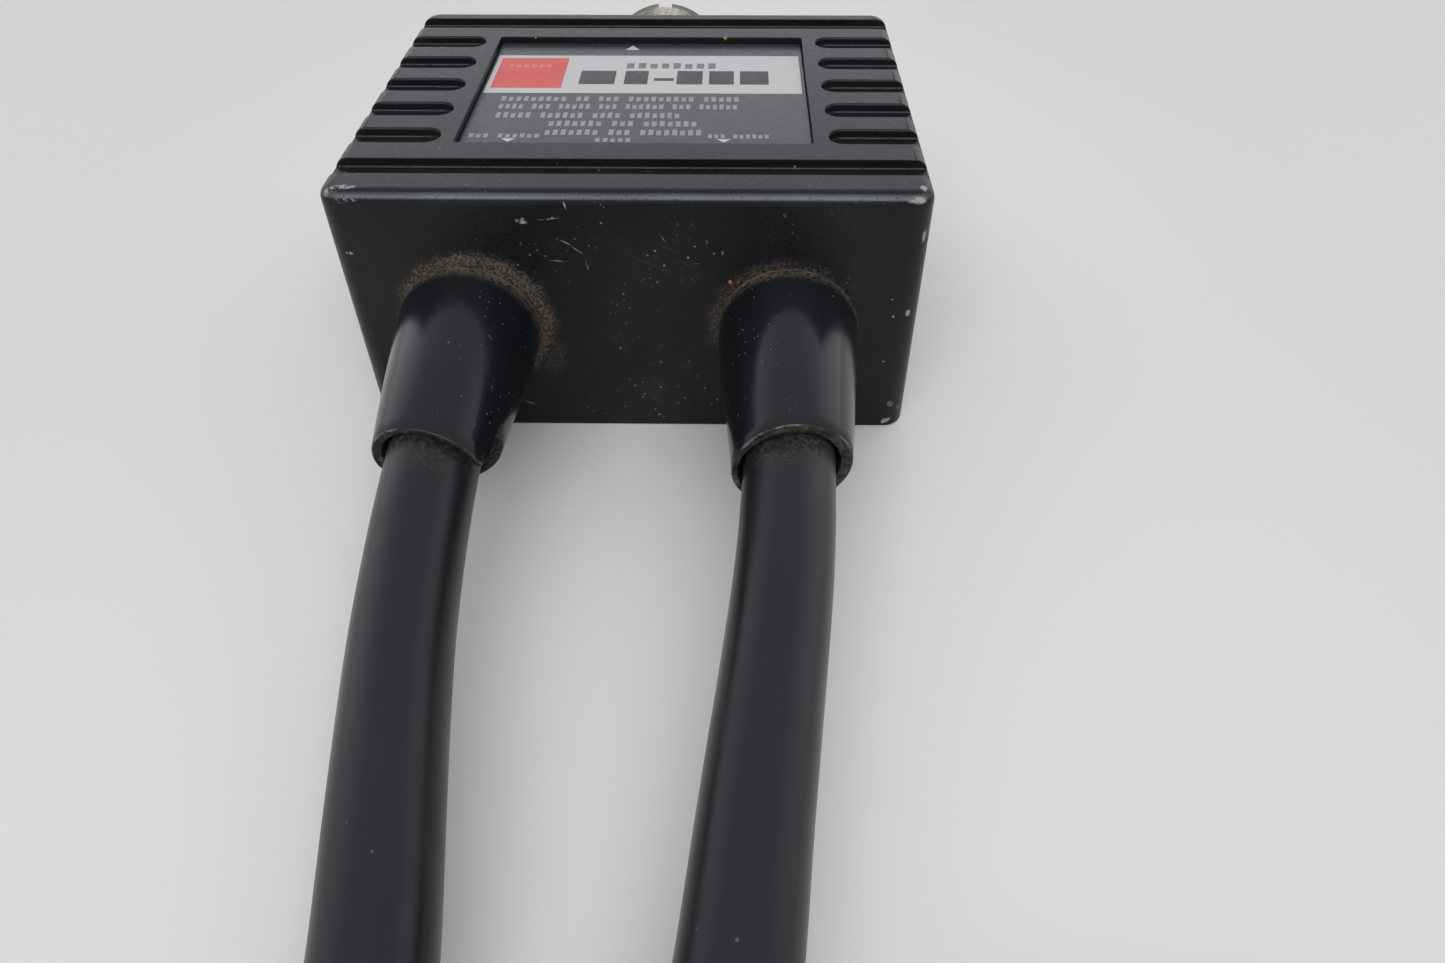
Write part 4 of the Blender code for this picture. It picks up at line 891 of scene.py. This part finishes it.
def groove_cutters():
    """The label recess, the grooves beside it and the one inside each end rib."""
    place = (0, RECESS_Y)
    cutters = [slot_cutter(RECESS_LENGTH, RECESS_WIDTH, 0.35, place, RECESS_DEPTH, 4, lip=0.1)]
    for y in (FRONT + FRONT_RIB + GROOVE_WIDTH / 2, REAR - REAR_RIB - GROOVE_WIDTH / 2):
        cutters.append(slot_cutter(GROOVE_WIDTH, 2 * WIDTH, 0.02, (0, y), GROOVE_DEPTH, 1, lip=0.07))
    middle = RECESS_WIDTH / 2 + RECESS_BORDER + WIDTH / 2
    round_end = GROOVE_WIDTH * 0.4999
    for side in (-1, 1):
        for number in range(-2, 3):
            place = (side * middle, RECESS_Y + number * SIDE_GROOVE_PITCH)
            cutters.append(slot_cutter(GROOVE_WIDTH, WIDTH, round_end, place, GROOVE_DEPTH, 10))
    return cutters


def make_cavity():
    """The hollow of the case, less the corner bosses and the posts of the board."""
    width, depth = WIDTH - 2 * WALL, DEPTH - 2 * WALL
    block = slab(width, depth, -WALL, HEIGHT - ROOF, CAVITY_CORNER, steps=8)
    web = WIDTH / 2 - BOSS_X
    solid = []
    for x, y in corner_places(BOSS_X, BOSS_Y):
        solid.append(rod(BOSS_RADIUS, REBATE, HEIGHT, (x, y)))
        place = (copysign(BOSS_X + web / 2, x), y)
        solid.append(slab(web, 2 * BOSS_RADIUS, REBATE, HEIGHT, centre=place))
    solid += [rod(POST_RADIUS, BOARD_SEAT, HEIGHT, (side * POST_X, 0)) for side in (-1, 1)]
    return combine(to_mesh(block, "cavity"), solid)


def wall_hole(radius, place, sides=48):
    return aimed(rod(radius, -WALL, 2 * WALL, sides=sides), ALONG_Y, place)


def hole_cutters():
    """Screw holes in the bosses and posts, and the holes of the boots and the socket."""
    boss_hole, boss_hole_end = 1.4, 9.8
    post_hole, post_hole_start, post_hole_end = 1.3, 3, 9.9
    socket_hole = 6.0
    bosses = corner_places(BOSS_X, BOSS_Y)
    cutters = [rod(boss_hole, 0, boss_hole_end, place, 16) for place in bosses]
    for side in (-1, 1):
        cutters.append(rod(post_hole, post_hole_start, post_hole_end, (side * POST_X, 0), 16))
        cutters.append(wall_hole(BOOT_NECK + GAP, (exit_x(side), FRONT, LEAD_HEIGHT)))
    cutters.append(wall_hole(socket_hole, (0, REAR - WALL, SOCKET_Z)))
    for across, up in corner_places(SOCKET_SCREW_OFFSET, SOCKET_SCREW_OFFSET):
        place = (across, REAR - WALL, SOCKET_Z + up)
        cutters.append(wall_hole(SOCKET_SCREW_HOLE, place, 16))
    return cutters


def make_case():
    rebate = slab(WIDTH - 2 * RIM, DEPTH - 2 * RIM, -WALL, REBATE, CAVITY_CORNER, steps=8)
    cutters = [*groove_cutters(), make_cavity(), rebate, *hole_cutters()]
    mesh = combine(to_mesh(case_outside(), "case_casting"), cutters)
    weighted(finish_object(mesh, [paint], "satin_black_paint", "case_body", angle=32))


# Print on the label

INK = 0.02


def box_outline(left, right, low, high):
    return [(left, low), (right, low), (right, high), (left, high)]


def word_outlines(left, right, low, high, words):
    """A line of small plain blocks that stands for a line of print: how many blocks in each word."""
    pitch = (right - left) / (sum(words) + len(words) - 1)
    outlines = []
    place = left
    for word in words:
        for number in range(word):
            top = high - (high - low) * (0.0, 0.16, 0.06)[(number + word) % 3]
            outlines.append(box_outline(place, place + pitch * 0.62, low, top))
            place += pitch
        place += pitch
    return outlines


def make_film(name, outlines, layer, material):
    """Thin printed areas on the label, in one piece; layer counts up from the label."""
    low = LABEL_TOP + layer * INK + 0.1 * INK
    shape = bmesh.new()
    for outline in outlines:
        rings_shape([[(x, y, z) for x, y in outline] for z in (low, low + 0.8 * INK)], shape=shape)
    finish_object(to_mesh(shape, name), [material], "printed_label", angle=30)


def make_print():
    white = ink_material("white_ink", (0.465, 0.45, 0.44), 0.12, (0.28, 0.27, 0.26))
    red = ink_material("red_ink", (0.57, 0.065, 0.055), 0.15, (0.40, 0.16, 0.14))
    pale_red = ink_material("pale_red_ink", (0.60, 0.15, 0.13), 0.5, (0.57, 0.065, 0.055))
    black = ink_material("black_ink", (0.030, 0.030, 0.033), 0.15, (0.12, 0.12, 0.12))
    grey = ink_material("grey_ink", (0.13, 0.13, 0.13), 0.3, (0.30, 0.29, 0.28))
    pale = ink_material("pale_ink", (0.24, 0.24, 0.242), 0.6, (0.07, 0.07, 0.072))

    side, end = RECESS_WIDTH / 2 - 0.1, RECESS_LENGTH / 2 - 0.1
    make_film("label_foil", [box_outline(-side, side, RECESS_Y - end, RECESS_Y + end)], 0, label)
    make_film("print_band", [box_outline(-16.45, 16.33, 0.45, 10.45)], 1, white)
    make_film("print_field", [box_outline(-15.95, -8.65, 1.75, 9.65)], 2, red)
    make_film("print_field_marks", word_outlines(-14.9, -10.0, 6.9, 7.9, (6,)), 3, pale_red)
    bars = ((-6.93, -3.2), (-2.2, 0.25), (3.3, 6.0), (6.7, 9.3), (9.95, 12.95))
    blocks = [box_outline(left, right, 2.75, 6.2) for left, right in bars]
    blocks.append(box_outline(0.9, 3.0, 3.65, 4.3))
    make_film("print_blocks", blocks, 2, black)
    make_film("print_title", word_outlines(-2.2, 7.8, 6.95, 8.35, (8,)), 2, grey)

    rows = (
        (-14.3, 10.1, -1.55, -0.37, (9, 2, 3, 9, 5)),
        (-14.25, 9.9, -3.4, -2.2, (4, 3, 5, 3, 6, 3, 6)),
        (-14.2, 4.25, -5.5, -4.2, (5, 6, 4, 7)),
        (-8.7, 6.0, -7.35, -6.1, (7, 3, 7)),
        (-8.8, 6.5, -9.3, -8.05, (7, 3, 8)),
        (-16.0, -9.0, -9.9, -9.0, (3, 6)),
        (6.9, 12.9, -9.9, -9.0, (3, 6)),
        (-3.8, -0.2, -10.75, -9.9, (5,)),
    )
    rows = [outline for row in rows for outline in word_outlines(*row)]
    make_film("print_rows", rows, 1, pale)
    arrows = [[(-12.8, -10.05), (-12.1, -10.78), (-11.4, -10.05)]]
    arrows.append([(7.7, -10.05), (8.4, -10.78), (9.1, -10.05)])
    arrows.append([(-2.75, 12.15), (-1.2, 12.15), (-2.0, 13.4)])
    make_film("print_arrows", arrows, 1, white)


# Screws


def cross_recess(reach, width, depth, top):
    """Two cutters for a cross recess in a head whose top is at a height."""
    cutters = []
    for along, across in ((reach, width), (width, reach)):
        rings = [
            rounded_rectangle(along * 0.45, across * 0.45, 0.01, top - depth, 1),
            rounded_rectangle(along, across, 0.01, top + 0.2, 1),
        ]
        cutters.append(rings_shape(rings))
    return cutters


def make_cover_screws():
    head, shank, sunk, head_depth, tip = 2.1, 1.1, 0.1, 1.1, 9.5
    profile = [(0, -tip), (shank, -tip + shank), (shank, -sunk - head_depth)]
    profile += [(head, -sunk - 0.12), (head - 0.06, -sunk), (0, -sunk)]
    for number, (x, y) in enumerate(corner_places(BOSS_X, BOSS_Y), 1):
        node, place = f"cover_screw_{number}", (x, y, 0)
        recess = cross_recess(2.6, 0.62, 0.9, -sunk)
        fine_piece(node, turned(profile, 32), place, steel, "zinc_plated_steel", recess, UPSIDE_DOWN)


def make_socket_screws():
    head, shank, height = 2.6, 1.3, 1.8
    seat = FLANGE_THICKNESS + GAP
    profile = [(0, -WALL), (shank, -WALL), (shank, seat), (head - 0.1, seat)]
    profile += [(head, seat + 0.1), (head, seat + height * 0.45)]
    for turn in (0.3, 0.6, 0.9, 1.2, 1.4):
        profile.append((head * cos(turn), seat + height * (0.45 + 0.55 * sin(turn))))
    profile.append((0, seat + height))
    places = corner_places(SOCKET_SCREW_OFFSET, SOCKET_SCREW_OFFSET)
    for number, (across, up) in enumerate(places, 1):
        node, place = f"socket_screw_{number}", (across, REAR + GAP, SOCKET_Z + up)
        recess = cross_recess(3.0, 0.7, 1.2, seat + height)
        fine_piece(node, turned(profile, 40), place, steel, "zinc_plated_steel", recess)


# Antenna socket


def thread(radius, depth, height, fade=1.0):
    """The radius round one level of a thread, from its crest down into its groove."""

    def at(angle):
        phase = (height / THREAD_PITCH - angle / (2 * pi)) % 1
        groove = min(1.0, max(0.0, 1.35 - 2.7 * abs(phase - 0.5)))
        return radius - depth * fade * groove

    return at


def fade_at(height, low, high, run=0.9):
    """From 0 at both ends of a thread to 1 along it."""
    return min(1.0, max(0.0, (height - low) / run), max(0.0, (high - height) / run))


def make_socket_shell():
    """The square flange with its holes, and the threaded barrel with four notches in its rim."""
    bore, seat_bore, seat = 6.5, 5.7, SOCKET_SEAT
    thread_depth, root = 0.58, BARREL_RADIUS - 0.55
    start, end = FLANGE_THICKNESS + 0.5, BARREL_END - 0.35
    rows = [(seat_bore, FLANGE_THICKNESS / 2), (root, FLANGE_THICKNESS / 2), (root, start - 0.1)]
    count = round((end - start) / THREAD_PITCH * 8)
    for step in range(count + 1):
        height = start + (end - start) * step / count
        fade = fade_at(height, start - 1, end)
        rows.append((thread(BARREL_RADIUS, thread_depth, height, fade), height))
    rows += [(BARREL_RADIUS - 0.3, BARREL_END), (bore + 0.2, BARREL_END), (bore, BARREL_END - 0.2)]
    rows += [(bore, seat), (seat_bore, seat)]
    notch, deep = 1.8, 1.3
    notches = crossed(20, notch, BARREL_END - deep, BARREL_END + deep)
    barrel = combine(to_mesh(turned(rows, 96, closed=True), "socket_barrel"), notches)

    side, corner, soft = 24.0, 1.6, 0.25
    levels = ((0, 0), (0, FLANGE_THICKNESS - soft), (soft * 0.3, FLANGE_THICKNESS - soft * 0.3))
    levels += ((soft, FLANGE_THICKNESS),)
    flange = rings_shape(
        rounded_rectangle(side - 2 * inset, side - 2 * inset, corner - inset, height, 10)
        for inset, height in levels
    )
    holes = [rod(seat_bore, -WALL, seat - 0.1, sides=96), rod(bore, seat - 0.1, 2 * WALL, sides=96)]
    for place in corner_places(SOCKET_SCREW_OFFSET, SOCKET_SCREW_OFFSET):
        holes.append(rod(SOCKET_SCREW_HOLE, -WALL, 2 * WALL, place))
    mesh = combine(to_mesh(flange, "socket_shell_fine"), holes)
    mesh = combine(mesh, [barrel], "UNION")
    fine_piece("socket_shell", mesh, SOCKET_PLACE, dull_nickel, "nickel_plating", angle=30)


def make_socket_inside():
    """The insulator, with a shallow ring groove, and the slit contact tube in its middle."""
    seat = SOCKET_SEAT + GAP
    front = seat + 7.2
    hole, tail, tail_end, outer = 2.8, 5.4, -4.0, 6.2
    profile = [(hole, tail_end), (tail, tail_end), (tail, seat), (outer, seat)]
    profile += [(outer, front - 0.2), (outer - 0.2, front), (5.2, front), (5.0, front - 0.5)]
    profile += [(3.9, front - 0.5), (3.7, front), (hole + 0.15, front), (hole, front - 0.15)]
    shape = turned(profile, 64, True)
    fine_piece("socket_insulator", shape, SOCKET_PLACE, white_resin, "white_insulator")

    tube_radius, bore, bore_depth = 2.5, 2.05, 10.5
    mouth = BARREL_END - 0.6
    bottom = mouth - bore_depth
    shoulder = tail_end - GAP
    cup, cup_bore, cup_end = 1.5, 0.9, shoulder - 3.4
    profile = [(0, shoulder - GAP), (cup_bore, shoulder - GAP), (cup_bore, cup_end), (cup, cup_end)]
    profile += [(cup, shoulder), (tube_radius, shoulder), (tube_radius, mouth - 0.5)]
    profile += [(tube_radius - 0.2, mouth), (bore + 0.1, mouth), (bore, mouth - 0.2)]
    profile += [(bore, bottom), (0, bottom)]
    slit, slit_bottom = 0.6, bottom + bore_depth * 0.15
    slits = crossed(15, slit, slit_bottom, mouth * 1.2)
    fine_piece("socket_contact", turned(profile, 48), SOCKET_PLACE, brass, "silvered_brass", slits)


# Plugs


def knurled(radius, depth, height, teeth=56, pitch=1.05):
    """The radius round one level of a diamond knurl."""

    def at(angle):
        turn = angle * teeth / (2 * pi)
        rise = height / pitch
        grooves = [abs((turn + way * rise) % 1 - 0.5) * 2 for way in (-1, 1)]
        return radius - depth * (1 - min(grooves)) ** 2

    return at


def make_plug_ring(name, start):
    """The coupling ring: knurled outside, a groove towards its mouth, and a thread inside."""
    chamfer, bore, thread_radius, thread_depth = 0.8, 6.05, 8.0, 0.5
    outer, knurl_depth = RING_RADIUS - 0.05, 0.32
    knurl_low, knurl_high, knurl_rows = 1.6, RING_LENGTH - 3.0, 56
    rows = [(bore, 0.15), (bore + 0.15, 0), (RING_RADIUS - chamfer, 0)]
    rows += [(outer, chamfer), (outer, knurl_low - 0.1)]
    for step in range(knurl_rows + 1):
        height = knurl_low + (knurl_high - knurl_low) * step / knurl_rows
        rows.append((knurled(RING_RADIUS, knurl_depth, height), height))
    rows += [(RING_RADIUS - 0.3, knurl_high + 0.1), (RING_RADIUS - 0.3, knurl_high + 0.6)]
    rows += [(outer, knurl_high + 0.8), (outer, RING_LENGTH - chamfer)]
    rows += [(RING_RADIUS - chamfer / 2, RING_LENGTH), (thread_radius + 0.55, RING_LENGTH)]
    low, high = RING_LIP + 0.9, RING_LENGTH - 0.3
    count = round((high - low) / THREAD_PITCH * 8)
    for step in range(count, -1, -1):
        height = low + (high - low) * step / count
        fade = fade_at(height, low, high + 1)
        rows.append((thread(thread_radius, -thread_depth, height, fade), height))
    rows += [(thread_radius, RING_LIP), (bore, RING_LIP)]
    shape, body = turned(rows, 224, True), f"coupling_ring_{name}"
    fine_piece(f"plug_ring_{name}", shape, start, nickel, "nickel_plating", body=body, angle=40)


def make_plug_body(name, entry):
    """The sleeve on the lead's end, its shoulder, and the nose with eight teeth round its mouth."""
    soft, hole = 0.2, CABLE_RADIUS + GAP
    sleeve, shoulder, nose, cup, throat = 5.75, 7.3, 5.95, 5.05, 2.9
    cup_bottom = PLUG_INSULATOR_START - GAP
    profile = [(hole, soft), (hole + soft, 0), (sleeve - 0.5, 0), (sleeve, 0.5)]
    profile += [(sleeve, SLEEVE_LENGTH), (shoulder - soft, SLEEVE_LENGTH)]
    profile += [(shoulder, SLEEVE_LENGTH + soft), (shoulder, NOSE_START - soft)]
    profile += [(shoulder - soft, NOSE_START), (nose, NOSE_START), (nose, NOSE_END - soft)]
    profile += [(nose - soft, NOSE_END), (cup, NOSE_END), (cup, cup_bottom), (throat, cup_bottom)]
    profile += [(throat, PLUG_CABLE_DEPTH), (hole, PLUG_CABLE_DEPTH)]
    tooth, tooth_gap = 1.0, 1.2
    gaps = []
    for step in range(4):
        gap = slab(18, tooth_gap, NOSE_END - tooth, NOSE_END + tooth)
        gaps.append(aimed(gap, Matrix.Rotation(pi / 4 * step, 4, "Z"), (0, 0, 0)))
    shape = turned(profile, 64, True)
    fine_piece(f"plug_body_{name}", shape, entry, nickel, "nickel_plating", gaps)


def make_plug_middle(name, entry):
    """The insulator in the nose, and the pin through it."""
    start = entry + Vector((0, PLUG_INSULATOR_START, 0))
    outer, hole, length = 4.75, 2.3, PLUG_INSULATOR_LENGTH
    profile = [(hole, 0), (outer, 0), (outer, length - 0.2), (outer - 0.2, length)]
    profile += [(3.6, length), (3.5, length - 0.3), (hole, length - 0.3)]
    shape = turned(profile, 48, True)
    fine_piece(f"plug_insulator_{name}", shape, start, brown_resin, "brown_phenolic")

    pin, tip, tail = 2.0, 25.3, 4.0
    profile = [(0, 0), (pin - 0.1, 0), (pin, 0.1), (pin, tip - pin)]
    profile += [(pin * cos(turn), tip - pin + pin * sin(turn)) for turn in (0.3, 0.6, 0.9, 1.2)]
    profile += [(0.35, tip), (0.25, tip - 0.8), (0, tip - 0.8)]
    shape, place = turned(profile, 40), start - Vector((0, tail, 0))
    fine_piece(f"plug_pin_{name}", shape, place, brass, "silvered_brass")


# Finishes of the pieces that stay as they are, by the start of their names

KEPT = (
    (paint, "bottom_plate"),
    (label, "label_plate"),
    (laminate, "circuit_board"),
    (white_resin, "dielectric"),
    (steel, ("shield_partition", "cable_clamp", "board_screw")),
    (copper, ("antenna_wire", "core_wire", "low_pass_coil", "high_pass_coil")),
    (ceramic, ("low_pass_capacitor", "high_pass_capacitor")),
)


def repaint():
    for name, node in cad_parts.items():
        for material, starts in KEPT:
            if name.startswith(starts):
                node.data.materials.clear()
                node.data.materials.append(material)


def soften(name, width):
    """A small bevel on the edges of a flat piece."""
    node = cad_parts[name]
    weld = node.modifiers.new("weld", "WELD")
    weld.merge_threshold = MM / 1000
    bevel = node.modifiers.new("bevel", "BEVEL")
    bevel.width = width * MM
    bevel.segments = 2
    bevel.limit_method = "ANGLE"
    bevel.angle_limit = radians(40)


# Floor and light


def make_floor():
    n = Finish("pale_floor", (0.64, 0.63, 0.63), 0.7)
    # Painted light: the floor is painted paler round the object to lift the shade there, and darker
    # farther out.
    away = n.mapped((3, -20, 0), reach=(1, 1.8, 1)).length()
    n.colour(away.step(10, 95).mix((0.725, 0.695, 0.67), (0.625, 0.605, 0.59)))
    shape = bmesh.new()
    bmesh.ops.create_grid(shape, x_segments=1, y_segments=1, size=6000)
    mesh = to_mesh(shape, "floor")
    mesh.materials.append(n.material)
    floor = bpy.data.objects.new("floor", mesh)
    scene.collection.objects.link(floor)


def make_lights():
    """A studio whose walls are brightest low down behind the object, and a soft box, in metres."""
    world = bpy.data.worlds.new("studio")
    world.use_nodes = True
    _, y, z = add_node(world.node_tree, "TexCoord", {}, "Generated").split()
    around = y.step(-0.6, 0.7, 0.45, 1.2)
    overhead = 0.68
    background = world.node_tree.nodes["Background"]
    feed(background.inputs["Color"], (0.95, 0.985, 1.04))
    feed(background.inputs["Strength"], (around - overhead) * z.step(0.78, 0.42) + overhead)
    scene.world = world

    data = bpy.data.lights.new("soft_box", "AREA")
    data.shape = "RECTANGLE"
    data.size, data.size_y = 1.6, 0.75
    data.energy = 14.3
    light = bpy.data.objects.new("soft_box", data)
    light.location = (0, -1.06, 1.08)
    light.rotation_euler = light.location.to_track_quat("Z", "Y").to_euler()
    scene.collection.objects.link(light)
    scene.view_settings.view_transform = "Standard"


# The whole model

for lead_name, lead_side, lead_route, lead_plug in LEADS:
    lead = lead_line(lead_side, lead_route, lead_plug)
    lead_entry = plug_entry(lead_side, lead_plug)
    make_plug_body(lead_name, lead_entry)
    make_plug_ring(lead_name, lead_entry + Vector((0, SLEEVE_LENGTH - GAP - RING_LIP, 0)))
    make_plug_middle(lead_name, lead_entry)
    make_cable(lead_name, lead_side, lead)
    Boot(lead_name, lead, LEFT_CUT if lead_side < 0 else RIGHT_CUT).make()

make_case()
make_print()
make_cover_screws()
make_socket_screws()
make_socket_shell()
make_socket_inside()
repaint()
soften("bottom_plate", 0.15)
soften("label_plate", 0.08)
make_floor()
make_lights()
